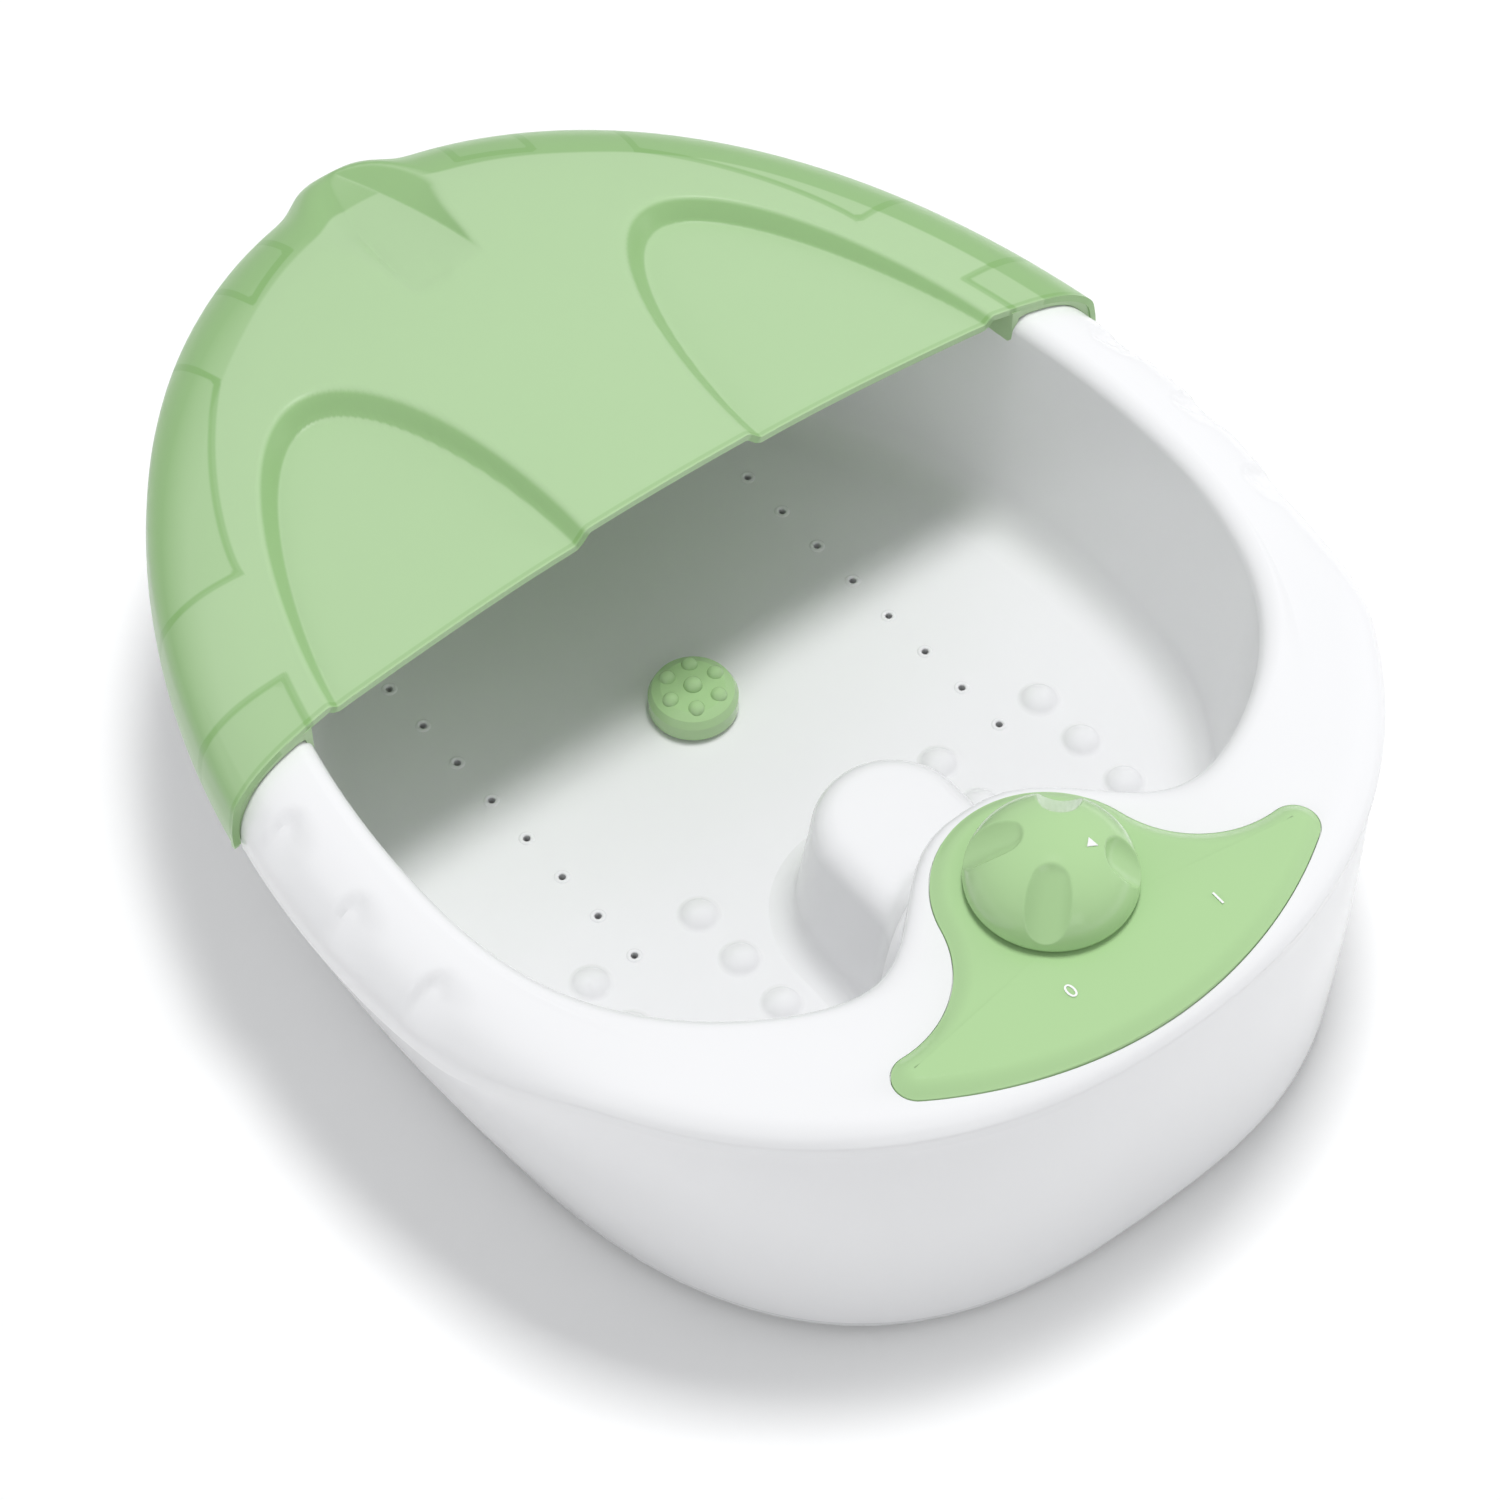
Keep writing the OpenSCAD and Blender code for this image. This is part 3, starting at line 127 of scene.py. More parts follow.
# points through which a rounded section runs
def spline(points, count):
    p = np.array(points, float)
    p = np.vstack([2 * p[0] - p[1], p, 2 * p[-1] - p[-2]])
    rows = []
    spans = len(p) - 3
    for u in np.linspace(0, spans, count):
        k = min(int(u), spans - 1)
        f = u - k
        a, b, c, d = p[k], p[k + 1], p[k + 2], p[k + 3]
        rows.append(0.5 * (2 * b + (c - a) * f + (2 * a - 5 * b + 4 * c - d) * f * f
                           + (3 * b - a - 3 * c + d) * f ** 3))
    return np.array(rows)


# Making pieces
def addObject(name, data):
    thing = bpy.data.objects.new(name, data)
    bpy.context.scene.collection.objects.link(thing)
    return thing


def newPiece(name, points, faces, material, smoothShade=True):
    mesh = bpy.data.meshes.new(name)
    corners = [tuple(p) for p in np.asarray(points) * mm]
    mesh.from_pydata(corners, [], [tuple(int(i) for i in f) for f in faces])
    mesh.validate()
    mesh.update()
    mesh.materials.append(material)
    if smoothShade:
        mesh.shade_smooth()
    return addObject(name, mesh)


def moveMesh(piece, step):
    mesh = piece.data
    points = np.empty(len(mesh.vertices) * 3)
    mesh.vertices.foreach_get("co", points)
    mesh.vertices.foreach_set("co", (points.reshape(-1, 3) + np.array(step) * mm).ravel())
    mesh.update()


def mergeDoubles(piece, recalculate=False):
    work = bmesh.new()
    work.from_mesh(piece.data)
    bmesh.ops.remove_doubles(work, verts=work.verts, dist=0.00002)
    if recalculate:
        bmesh.ops.recalc_face_normals(work, faces=work.faces)
    work.to_mesh(piece.data)
    work.free()


def applyModifiers(piece):
    graph = bpy.context.evaluated_depsgraph_get()
    mesh = bpy.data.meshes.new_from_object(piece.evaluated_get(graph))
    piece.modifiers.clear()
    piece.data = mesh
    return piece


# gives a surface a wall: offset -1 grows inwards, and 0 to both sides
def thicken(piece, thickness, offset=-1):
    wall = piece.modifiers.new("wall", "SOLIDIFY")
    wall.thickness = thickness * mm
    wall.offset = offset
    return applyModifiers(piece)


def gridFaces(rows, columns, closed):
    faces = []
    across = columns if closed else columns - 1
    for r in range(rows - 1):
        for c in range(across):
            d = (c + 1) % columns
            low, high = r * columns, (r + 1) * columns
            faces.append((low + c, low + d, high + d, high + c))
    return faces


# rings of equal length, from the outside in, with an optional point in the middle
def loftPiece(name, rings, material, pole=None, closed=True):
    columns = len(rings[0])
    points = np.vstack(rings)
    faces = gridFaces(len(rings), columns, closed)
    if pole is not None:
        last = (len(rings) - 1) * columns
        points = np.vstack([points, [pole]])
        faces += [(last + c, last + (c + 1) % columns, len(points) - 1) for c in range(columns)]
    return newPiece(name, points, faces, material)


def ring(x, y, z):
    return np.column_stack([x, y, np.broadcast_to(z, np.shape(x))])


# Materials
def addNode(nodes, kind, sockets=()):
    node = nodes.new("ShaderNode" + kind)
    for socket, value in dict(sockets).items():
        node.inputs[socket].default_value = value
    return node


# two colours and a gloss that drift with one noise, and a fine relief from another or the same
def driftingMaterial(name, color, tint, glossRange, drift, relief, grain=None, stretch=None):
    material = bpy.data.materials.new(name)
    material.use_nodes = True
    nodes, links = material.node_tree.nodes, material.node_tree.links
    shader = nodes["Principled BSDF"]
    place = nodes.new("ShaderNodeTexCoord").outputs["Object"]
    if stretch:
        turn = addNode(nodes, "Mapping", {"Scale": stretch})
        links.new(place, turn.inputs["Vector"])
        place = turn.outputs["Vector"]
    cloud = addNode(nodes, "TexNoise", {"Scale": drift[0], "Detail": drift[1]})
    fine = addNode(nodes, "TexNoise", {"Scale": grain, "Detail": 2.0}) if grain else cloud
    blend = addNode(nodes, "Mix")
    blend.data_type = "RGBA"
    blend.inputs[6].default_value = (*color, 1)
    blend.inputs[7].default_value = (*tint, 1)
    rough = addNode(nodes, "MapRange", {"To Min": glossRange[0], "To Max": glossRange[1]})
    bump = addNode(nodes, "Bump", {"Strength": relief[0], "Distance": relief[1]})
    links.new(place, cloud.inputs["Vector"])
    links.new(place, fine.inputs["Vector"])
    links.new(cloud.outputs["Fac"], blend.inputs[0])
    links.new(blend.outputs[2], shader.inputs["Base Color"])
    links.new(cloud.outputs["Fac"], rough.inputs["Value"])
    links.new(rough.outputs["Result"], shader.inputs["Roughness"])
    links.new(fine.outputs["Fac"], bump.inputs["Height"])
    links.new(bump.outputs["Normal"], shader.inputs["Normal"])
    return material, shader


def mouldedPlastic(name, color, tint, roughness, grain=900.0, bump=0.02, coat=0.25, transmission=0.0):
    gloss = (roughness * 0.8, roughness * 1.25)
    material, shader = driftingMaterial(name, color, tint, gloss, (9.0, 3.0), (bump, 0.0004), grain)
    shader.inputs["Coat Weight"].default_value = coat
    shader.inputs["Coat Roughness"].default_value = 0.08
    shader.inputs["Transmission Weight"].default_value = transmission
    return material


def spunMetal(name, color, tint, roughness, metallic=1.0, stretch=(1, 1, 60)):
    gloss = (roughness * 0.7, roughness * 1.4)
    material, shader = driftingMaterial(name, color, tint, gloss, (120.0, 4.0), (0.05, 0.0003),
                                        stretch=stretch)
    shader.inputs["Metallic"].default_value = metallic
    return material


# how much painted shade darkens the clear moulding at each of its forms, partly the deeper colour of
# more plastic on the arch walls and the pocket walls
shadeAndDepth = {
    "shoulder": 0.72, "side": 0.3, "archWall": 0.66, "pocketWall": 0.6, "pocket": 0.16, "front": 0.4,
}


# painted shade on the clear moulding, mixed towards the colour deep: on its slanted shoulder, its steep
# outer band, inside the pockets and along a crease by the front edge; on the arch walls and where ribs
# meet the skin it is partly the deeper colour of more plastic seen through and partly painted shade
def paintShadeAndDepth(material, deep):
    nodes, links = material.node_tree.nodes, material.node_tree.links
    shader = nodes["Principled BSDF"]
    plain = shader.inputs["Base Color"].links[0].from_socket

    def combine(operation, a, b=None):
        node = addNode(nodes, "Math")
        node.operation = operation
        links.new(a, node.inputs[0])
        if isinstance(b, float):
            node.inputs[1].default_value = b
        elif b:
            links.new(b, node.inputs[1])
        return node.outputs["Value"]

    # 0 to 1 from start to end of an attribute that markPiece writes
    def mask(attribute, start, end, mirrored=False):
        source = nodes.new("ShaderNodeAttribute")
        source.attribute_name = attribute
        value = source.outputs["Fac"]
        if mirrored:
            value = combine("ABSOLUTE", value)
        falls = float(start > end)
        step = addNode(nodes, "MapRange", {"From Min": min(start, end), "From Max": max(start, end),
                                           "To Min": falls, "To Max": 1.0 - falls})
        step.interpolation_type = "SMOOTHSTEP"
        links.new(value, step.inputs["Value"])
        return step.outputs["Result"]

    # painted shade on the shoulder band, growing where its surface is seen at a slant
    graze = addNode(nodes, "LayerWeight", {"Blend": 0.5})
    slanted = addNode(nodes, "MapRange", {"From Min": 0.22, "From Max": 0.42})
    links.new(graze.outputs["Facing"], slanted.inputs["Value"])
    shoulder = combine("MULTIPLY", mask("edgeIn", 17.6, 16.4), slanted.outputs["Result"])
    shoulder = combine("MULTIPLY", shoulder, shadeAndDepth["shoulder"])
    # painted shade on the steep outer band along the edge
    side = combine("MULTIPLY", mask("edgeIn", 6, 4), shadeAndDepth["side"])
    # on the arch and trough walls: partly the deeper colour of more plastic seen through, partly painted
    # shade
    wall = combine("MULTIPLY", mask("wallIn", -0.5, 0.4), mask("pressed", 0.1, 1.3))
    wall = combine("MULTIPLY", wall, shadeAndDepth["archWall"])
    # where ribs meet the skin: partly the deeper colour of thicker plastic, partly painted shade; inside
    # the pockets, painted shade
    frameLine = combine("MULTIPLY", mask("pocketIn", 1.7, 0.7, True), shadeAndDepth["pocketWall"])
    inside = combine("MULTIPLY", mask("pocketIn", -0.4, 0.4), shadeAndDepth["pocket"])
    # painted shade along a crease by the front edge
    frontLine = combine("MULTIPLY", mask("frontIn", 2.2, 1.6), mask("frontIn", 0.4, 1.0))
    amount = combine("MAXIMUM", combine("MAXIMUM", side, shoulder), wall)
    amount = combine("ADD", combine("MAXIMUM", amount, inside), frameLine)
    amount = combine("ADD", amount, combine("MULTIPLY", frontLine, shadeAndDepth["front"]))
    shade = addNode(nodes, "Mix")
    shade.data_type = "RGBA"
    shade.inputs[7].default_value = (*deep, 1)
    links.new(amount, shade.inputs[0])
    links.new(plain, shade.inputs[6])
    links.new(shade.outputs[2], shader.inputs["Base Color"])


slotMaterials = {
    "white_shell": mouldedPlastic("whiteShell", (0.88, 0.88, 0.89), (0.85, 0.85, 0.862), 0.24),
    "white_base": mouldedPlastic("whiteBase", (0.80, 0.805, 0.81), (0.74, 0.745, 0.75), 0.42,
                                 bump=0.05, coat=0.0),
    "green_plastic": mouldedPlastic("leafPlastic", (0.43, 0.645, 0.325), (0.41, 0.625, 0.31), 0.16,
                                    coat=0.2),
    "clear_green": mouldedPlastic("clearLeaf", (0.53, 0.745, 0.425), (0.51, 0.73, 0.41), 0.3,
                                  coat=0.15, transmission=0.2),
    "black_plastic": mouldedPlastic("blackPlastic", (0.03, 0.03, 0.032), (0.045, 0.045, 0.047), 0.5,
                                    bump=0.08, coat=0.0),
    "rubber_black": mouldedPlastic("softRubber", (0.035, 0.035, 0.037), (0.05, 0.05, 0.052), 0.75,
                                   grain=400, bump=0.15, coat=0.0),
    "hose_grey": mouldedPlastic("hoseRubber", (0.5, 0.5, 0.51), (0.44, 0.44, 0.45), 0.5,
                                bump=0.06, coat=0.0),
    "board_green": mouldedPlastic("boardGreen", (0.02, 0.16, 0.06), (0.03, 0.2, 0.08), 0.35, bump=0.05),
    "filter_foam": mouldedPlastic("filterFoam", (0.07, 0.07, 0.075), (0.03, 0.03, 0.03), 0.95,
                                  grain=1500, bump=0.6, coat=0.0),
    "screw_steel": spunMetal("zincSteel", (0.62, 0.63, 0.65), (0.5, 0.51, 0.53), 0.3),
    "motor_steel": spunMetal("drawnSteel", (0.55, 0.56, 0.58), (0.44, 0.45, 0.47), 0.35),
    "ferrite": spunMetal("ferrite", (0.06, 0.06, 0.065), (0.1, 0.1, 0.11), 0.55, metallic=0.3),
    "copper_winding": spunMetal("copper", (0.72, 0.36, 0.18), (0.55, 0.25, 0.12), 0.35,
                                stretch=(1, 1, 20)),
    "bronze_bearing": spunMetal("bronze", (0.62, 0.46, 0.22), (0.5, 0.36, 0.16), 0.4),
    "heater_aluminium": spunMetal("satinAluminium", (0.77, 0.78, 0.79), (0.68, 0.69, 0.7), 0.3,
                                  stretch=(40, 1, 1)),
    "heater_steel": spunMetal("heatedSteel", (0.38, 0.33, 0.30), (0.5, 0.4, 0.34), 0.4),
}
whiteShell, leafPlastic = slotMaterials["white_shell"], slotMaterials["green_plastic"]
clearLeaf = slotMaterials["clear_green"]
# the shaded green that the guard's painted shade mixes in
paintShadeAndDepth(clearLeaf, (0.30, 0.545, 0.20))
whitePrint = mouldedPlastic("whitePrint", (0.93, 0.93, 0.93), (0.9, 0.9, 0.9), 0.4, bump=0.01, coat=0.0)
for row in frame["record"]["subparts"]:
    node = frame["nodes"][row["node"]]
    node.data.materials.clear()
    node.data.materials.append(slotMaterials[row["material_slot"]])
print("materials set:", len(slotMaterials))

# Tub
tub = {
    "wall": 2.5, "shoulderDrop": 25.0, "innerRound": 5.5, "edgeDrop": 0.48, "recess": 1.6,
    "gripDepth": 3.0, "gripHalf": 7.4, "gripTop": 15.5, "gripStart": 29.0, "gripPitch": 35.0,
    "gripEnd": 19.0, "gripFade": 17.0, "gripCount": 3, "heelStretch": 1.7,
    "nubWidth": 12.0, "nubHeight": 3.0, "nubPitch": 20.0, "nubInset": 13.0, "nubStart": -60.0,
    "holeWidth": 2.2, "holePitch": 18.0, "holeInset": 11.0, "holeStart": -20.0, "holeCount": 8,
}
hump = {
    "height": 72.0, "half": 24.0, "length": 53.0, "round": 9.0, "draft": 4.0,
    "flareOut": 5.0, "flareUp": 6.0, "flareReach": 10.0,
}
knobAxis = np.array([0.0, midY - 120.0])
deckTop = form["rimHeight"] + form["heelRise"]

# Section of the rim's shoulder: inset, drop at the sides and drop at the heel
shoulder = spline([[0, tub["shoulderDrop"], 9], [0, 21, 5.5], [0.4, 17, 4.2], [2, 12.5, 2.2],
                   [5, 7.8, 0.6], [9, 4.2, 0], [15, 1.7, 0], [22, 0.5, 0]], 30)


# angles round the tub, closer together at the grips and at the spout
def tubAngles():
    parts = [np.arange(-18, 11, 0.4), np.arange(11, 72, 1.5), np.arange(72, 108, 0.6),
             np.arange(108, 169, 1.5), np.arange(169, 198, 0.4), np.arange(198, 342, 1.5)]
    return np.radians(np.concatenate(parts))


def spoutDip(x, y):
    return form["spoutDepth"] * form["dipShare"] * spoutAt(x, y)


# height of the rim's inner edge, where its rounding starts
def innerTop(x, y):
    return rimHeightAt(y) - spoutDip(x, y) - mix(tub["edgeDrop"], 0, heelAt(y))


def rimRow(t, inset, dropSide, dropHeel):
    x, y = rimPoint(t, inset)
    toLip = form["toeRise"] * toeAt(y) * (dropSide / tub["shoulderDrop"]) ** 2
    z = rimHeightAt(y) - mix(dropSide, dropHeel, heelAt(y)) - spoutDip(x, y) - toLip
    return x, y, z


# how deep the finger grooves are on the shoulder: round at the top, fading towards the lip and the heel
def gripDent(x, y, inset, drop):
    dent = np.zeros_like(x)
    for k in range(tub["gripCount"]):
        across = (y - (midY + tub["gripStart"] - k * tub["gripPitch"])) / tub["gripHalf"]
        along = (inset - tub["gripTop"] + tub["gripHalf"]) / tub["gripHalf"]
        shaped = np.where(across < 0, across / tub["heelStretch"], across)
        reach = np.sqrt(shaped ** 2 + np.clip(along, 0, None) ** 2)
        bowl = smooth((1.04 - reach) / mix(0.4, 1.2, smooth(0.7 - across)))
        dent = np.maximum(dent, bowl * smooth((tub["gripEnd"] - drop) / tub["gripFade"]))
    return dent * tub["gripDepth"]


def basinTub():
    t = tubAngles()
    rings = []
    for inset, side, heel in shoulder:
        x, y, z = rimRow(t, inset, side, heel)
        dent = gripDent(x, y, inset, side)
        slope = smooth((12 - inset) / 12)
        nx, ny = np.cos(t), np.sin(t)
        lean = slope * 0.75
        down = dent * np.sqrt(1 - lean ** 2)
        rings.append(ring(x - nx * dent * lean, y - ny * dent * lean * 0.3, z - down))
    edge = tub["innerRound"]
    x0, y0, z0 = rimRow(t, *shoulder[-1])
    x1, y1 = basinPoint(t, -edge)
    z1 = innerTop(x1, y1)
    for u in np.linspace(0, 1, 9)[1:]:
        rings.append(ring(mix(x0, x1, u), mix(y0, y1, u), mix(z0, z1, smooth(u))))
    for a in np.radians(np.linspace(0, 90, 11)[1:]):
        x, y = basinPoint(t, edge * (math.sin(a) - 1))
        rings.append(ring(x, y, innerTop(x, y) - edge * (1 - math.cos(a))))
    reach = form["rimHeight"] - form["floorHeight"]
    filletAt = form["draft"] * (reach - form["floorRadius"]) / reach
    filletTop = form["floorHeight"] + form["floorRadius"]
    x0, y0 = basinPoint(t, 0)
    z0 = innerTop(x0, y0) - edge
    for u in np.linspace(0, 1, 16)[1:-1]:
        x, y = basinPoint(t, filletAt * u)
        rings.append(ring(x, y, mix(z0, filletTop, u)))
    for a in np.radians(np.arange(0, 91, 10)):
        x, y = basinPoint(t, filletAt + form["floorRadius"] * (1 - math.cos(a)))
        rings.append(ring(x, y, filletTop - form["floorRadius"] * math.sin(a)))
    pole = np.array([0, midY + 25, form["floorHeight"]])
    flat = rings[-1]
    for u in (0.85, 0.65, 0.4, 0.2):
        rings.append(pole + (flat - pole) * u)
    return thicken(loftPiece("basinTub", rings, whiteShell, pole), tub["wall"])


# the hump that runs from the heel wall to the middle of the floor, flared where it meets both
def ridgeHump():
    half, top, soft, spread = hump["half"], hump["height"], hump["round"], hump["draft"]
    tip = midY - form["heelLength"] + form["heelLand"] + form["bulgeDepth"]
    endY = tip + hump["length"]
    floor = form["floorHeight"]
    section = []
    for u in np.linspace(0, 1, 7)[:-1]:
        section.append((u * (half - soft), top + 0.6 * (1 - u * u)))
    for a in np.radians(np.arange(0, 91, 11.25)):
        section.append((half - soft + soft * math.sin(a), top - soft + soft * math.cos(a)))
    for u in np.linspace(0, 1, 12)[1:]:
        section.append((half + spread * u, mix(top - soft, floor + soft, u)))
    for a in np.radians(np.arange(15, 91, 15)):
        sink = 0.3 if a > 1.5 else 0
        foot = half + spread + soft * (1 - math.cos(a))
        section.append((foot, floor + soft - soft * math.sin(a) - sink))
    rows = []
    for w, z in section:
        reach = form["rimHeight"] - floor
        fallsBack = form["bulgeDepth"] * (1 - math.exp(-(w / form["bulgeWidth"]) ** form["bulgePower"]))
        wallY = tip + form["draft"] * (form["rimHeight"] - z) / reach - fallsBack
        line = np.concatenate([np.linspace(wallY - 12, wallY + 14, 20),
                               np.linspace(wallY + 14, endY - half, 12)[1:]])
        near = np.clip(1 - (line - wallY) / hump["flareReach"], 0, 1.7) ** 2
        side = w + near * hump["flareOut"] * min(w / half, 1)
        lift = z + near * hump["flareUp"] * max(0.0, 1 - (w / half) ** 4)
        arc = np.radians(np.linspace(90, 0, 25))[1:-1]
        right = np.column_stack([side, line, lift])
        bend = np.column_stack([w * np.sin(arc), endY - half + w * np.cos(arc), np.full(len(arc), z)])
        left = right[::-1] * [-1, 1, 1]
        rows.append(np.vstack([right, bend, [[0, endY - half + w, z]], bend[::-1] * [-1, 1, 1], left]))
    rows.reverse()
    faces = gridFaces(len(rows), len(rows[0]), False)
    piece = newPiece("ridgeHump", np.vstack(rows), faces, whiteShell)
    mergeDoubles(piece)
    return piece


# smooth shading that stops at real corners
def sharpEdges(piece, degrees=35):
    work = bmesh.new()
    work.from_mesh(piece.data)
    limit = math.radians(degrees)
    for edge in work.edges:
        edge.smooth = len(edge.link_faces) != 2 or edge.calc_face_angle(0) < limit
    work.to_mesh(piece.data)
    work.free()
    piece.data.shade_smooth()


# several pieces as one, under a new name and with all their materials
def join(pieces, name):
    work = bmesh.new()
    slots = []
    for part in pieces:
        start = len(work.faces)
        work.from_mesh(part.data)
        work.faces.ensure_lookup_table()
        for face in work.faces[start:]:
            material = part.data.materials[face.material_index]
            if material not in slots:
                slots.append(material)
            face.material_index = slots.index(material)
    mesh = bpy.data.meshes.new(name)
    work.to_mesh(mesh)
    work.free()
    for material in slots:
        mesh.materials.append(material)
    for part in pieces:
        bpy.data.objects.remove(part)
    return addObject(name, mesh)


# Outline of the control panel
panel = {
    "roundRadius": 33.5, "tailReach": 75.0, "outerArc": 133.0, "arcBack": 52.5, "tipRadius": 7.5,
    "hollowRadius": 34.0, "proud": 3.3, "fit": 0.35, "crown": 0.6, "middleBack": 14.0,
    "edgeWide": 5.9, "edgeHigh": 3.0, "edgePower": 2.6,
}


def arcPoints(center, radius, start, end, count):
    a = np.radians(np.linspace(start, end, count))
    return np.column_stack([center[0] + radius * np.cos(a), center[1] + radius * np.sin(a)])


# round part about the knob, hollow sides and two round tail tips under one long arc
def whaleOutline(inset):
    p = panel
    arcY = p["outerArc"] - p["arcBack"]
    tipX = p["tailReach"] - p["tipRadius"]
    tipY = arcY - math.sqrt((p["outerArc"] - p["tipRadius"]) ** 2 - tipX ** 2)
    far = math.hypot(tipX, tipY)
    hub, tail = p["roundRadius"] + p["hollowRadius"], p["tipRadius"] + p["hollowRadius"]
    spread = math.acos((hub ** 2 + far ** 2 - tail ** 2) / (2 * hub * far))
    hollowAngle = math.degrees(math.atan2(tipY, tipX) + spread)
    hollow = (hub * math.cos(math.radians(hollowAngle)), hub * math.sin(math.radians(hollowAngle)))
    tipStart = math.degrees(math.atan2(tipY - arcY, tipX))
    tipEnd = math.degrees(math.atan2(hollow[1] - tipY, hollow[0] - tipX))
    half = np.vstack([
        arcPoints((0, arcY), p["outerArc"] - inset, -90, tipStart, 40)[:-1],
        arcPoints((tipX, tipY), p["tipRadius"] - inset, tipStart, tipEnd, 22),
        arcPoints(hollow, p["hollowRadius"] + inset, tipEnd - 180, hollowAngle - 180, 30)[1:-1],
        arcPoints((0, 0), p["roundRadius"] - inset, hollowAngle, 90, 26)])
    other = half[1:-1][::-1] * [-1, 1]
    return np.vstack([half, other]) + knobAxis


def cutWith(piece, cutter):
    cut = piece.modifiers.new("cut", "BOOLEAN")
    cut.operation = "DIFFERENCE"
    cut.solver = "MANIFOLD"
    cut.object = cutter
    applyModifiers(piece)
    bpy.data.objects.remove(cutter)
    return piece


def prism(name, outline, low, high):
    base = np.column_stack([outline, np.full(len(outline), low)])
    n = len(outline)
    faces = [tuple(range(n - 1, -1, -1)), tuple(range(n, 2 * n))]
    faces += [(i, (i + 1) % n, n + (i + 1) % n, n + i) for i in range(n)]
    return newPiece(name, np.vstack([base, base + [0, 0, high - low]]), faces, whiteShell)


def holePlaces():
    side = form["rimWidth"] / 4 - tub["holeInset"]
    rows = [midY + tub["holeStart"] + k * tub["holePitch"] for k in range(tub["holeCount"])]
    return [(s * side, y) for s in (-1, 1) for y in rows]


def nubPlaces():
    side, pitch = form["rimWidth"] / 4 - tub["nubInset"], tub["nubPitch"]
    columns = (side + 0.9 * pitch, side - 1.1 * pitch)
    rows = [midY + tub["nubStart"] + k * pitch for k in range(3)]
    return [(s * x, y) for s in (-1, 1) for x in columns for y in rows]


# a Geometry Nodes tree that puts one small shape at each of the places
def repeatOnFloor(name, places, seedMesh):
    spots = newPiece(name, [(x, y, form["floorHeight"]) for x, y in places], [], whiteShell)
    shape = addObject(name + "Shape", seedMesh)
    tree = bpy.data.node_groups.new(name + "Tree", "GeometryNodeTree")
    tree.interface.new_socket("Spots", in_out="INPUT", socket_type="NodeSocketGeometry")
    tree.interface.new_socket("Mesh", in_out="OUTPUT", socket_type="NodeSocketGeometry")
    nodes, links = tree.nodes, tree.links
    entry, leave = nodes.new("NodeGroupInput"), nodes.new("NodeGroupOutput")
    info = nodes.new("GeometryNodeObjectInfo")
    info.inputs["Object"].default_value = shape
    toPoints = nodes.new("GeometryNodeMeshToPoints")
    place = nodes.new("GeometryNodeInstanceOnPoints")
    realize = nodes.new("GeometryNodeRealizeInstances")
    finish = nodes.new("GeometryNodeSetMaterial")
    finish.inputs["Material"].default_value = whiteShell
    links.new(entry.outputs["Spots"], toPoints.inputs["Mesh"])
    links.new(toPoints.outputs["Points"], place.inputs["Points"])
    links.new(info.outputs["Geometry"], place.inputs["Instance"])
    links.new(place.outputs["Instances"], realize.inputs["Geometry"])
    links.new(realize.outputs["Geometry"], finish.inputs["Geometry"])
    links.new(finish.outputs["Geometry"], leave.inputs["Mesh"])
    spots.modifiers.new("repeat", "NODES").node_group = tree
    applyModifiers(spots)
    bpy.data.objects.remove(shape)
    spots.data.shade_smooth()
    return spots


# mesh of a small shape turned about Z, from its foot to its top, closed where it ends on the axis
def turnedMesh(name, profile, count):
    a = np.radians(np.arange(count) * 360 / count)
    rings = [ring(r * np.cos(a), r * np.sin(a), z) for r, z in profile if r > 0.001]
    pole = [0, 0, profile[-1][1]] if profile[-1][0] < 0.001 else None
    piece = loftPiece(name, rings, whiteShell, pole)
    mesh = piece.data
    bpy.data.objects.remove(piece)
    return mesh


tubPiece = basinTub()
cutters = [prism("seatCut", whaleOutline(0), deckTop - tub["recess"], deckTop + 20)]
for place in holePlaces():
    circle = arcPoints(place, tub["holeWidth"] / 2, 0, 340, 18)
    cutters.append(prism("holeCut", circle, form["floorHeight"] - 6, form["floorHeight"] + 2))
tubPiece = cutWith(tubPiece, join(cutters, "tubCuts"))
sharpEdges(tubPiece, 40)
humpPiece = ridgeHump()
nubHalf = tub["nubWidth"] / 2
nubBall = (nubHalf ** 2 + tub["nubHeight"] ** 2) / (2 * tub["nubHeight"])
dome = [(nubBall * math.sin(a), nubBall * math.cos(a) - nubBall + tub["nubHeight"])
        for a in np.linspace(math.asin(nubHalf / nubBall) * 0.94, 0, 9)]
nubMesh = turnedMesh("nubShape", [(nubHalf + 1.2, -0.1), (nubHalf + 0.4, 0.1)] + dome, 32)
nubField = repeatOnFloor("nubField", nubPlaces(), nubMesh)
collarMesh = turnedMesh("collarShape", [(2.6, -0.1), (2.3, 0.25), (1.9, 0.4), (1.5, 0.3), (1.12, 0.05),
                                        (1.1, -1.0)], 24)
holeCollars = repeatOnFloor("holeCollars", holePlaces(), collarMesh)
basinPiece = join([tubPiece, humpPiece, nubField, holeCollars], "basinTub")
print("tub made:", len(basinPiece.data.polygons), "faces")

# Outer skirt
skirt = {
    "wall": 2.5, "behindLip": 0.9, "footRound": 2.0, "heelInset": 3.0,
    "taperPower": 1.3, "heelPower": 2.7, "toePower": 2.1,
}


# outline of the skirt, from the lip at f = 0 to the foot at f = 1
def skirtPoint(t, f, inset):
    step, taper = form["lipStep"], f ** skirt["taperPower"]
    x, y = egg(t, mix(rimHalf - step, form["baseWidth"] / 2, taper) - inset,
               form["heelLength"] - mix(step, skirt["heelInset"], f) - inset,
               form["toeLength"] - mix(step, form["baseToeInset"], taper) - inset,
               mix(form["heelPower"], skirt["heelPower"], f),
               mix(form["toePower"], skirt["toePower"], f))
    return x, y + form["spoutOut"] * (1 - f) ** 2 * spoutAt(x, y)


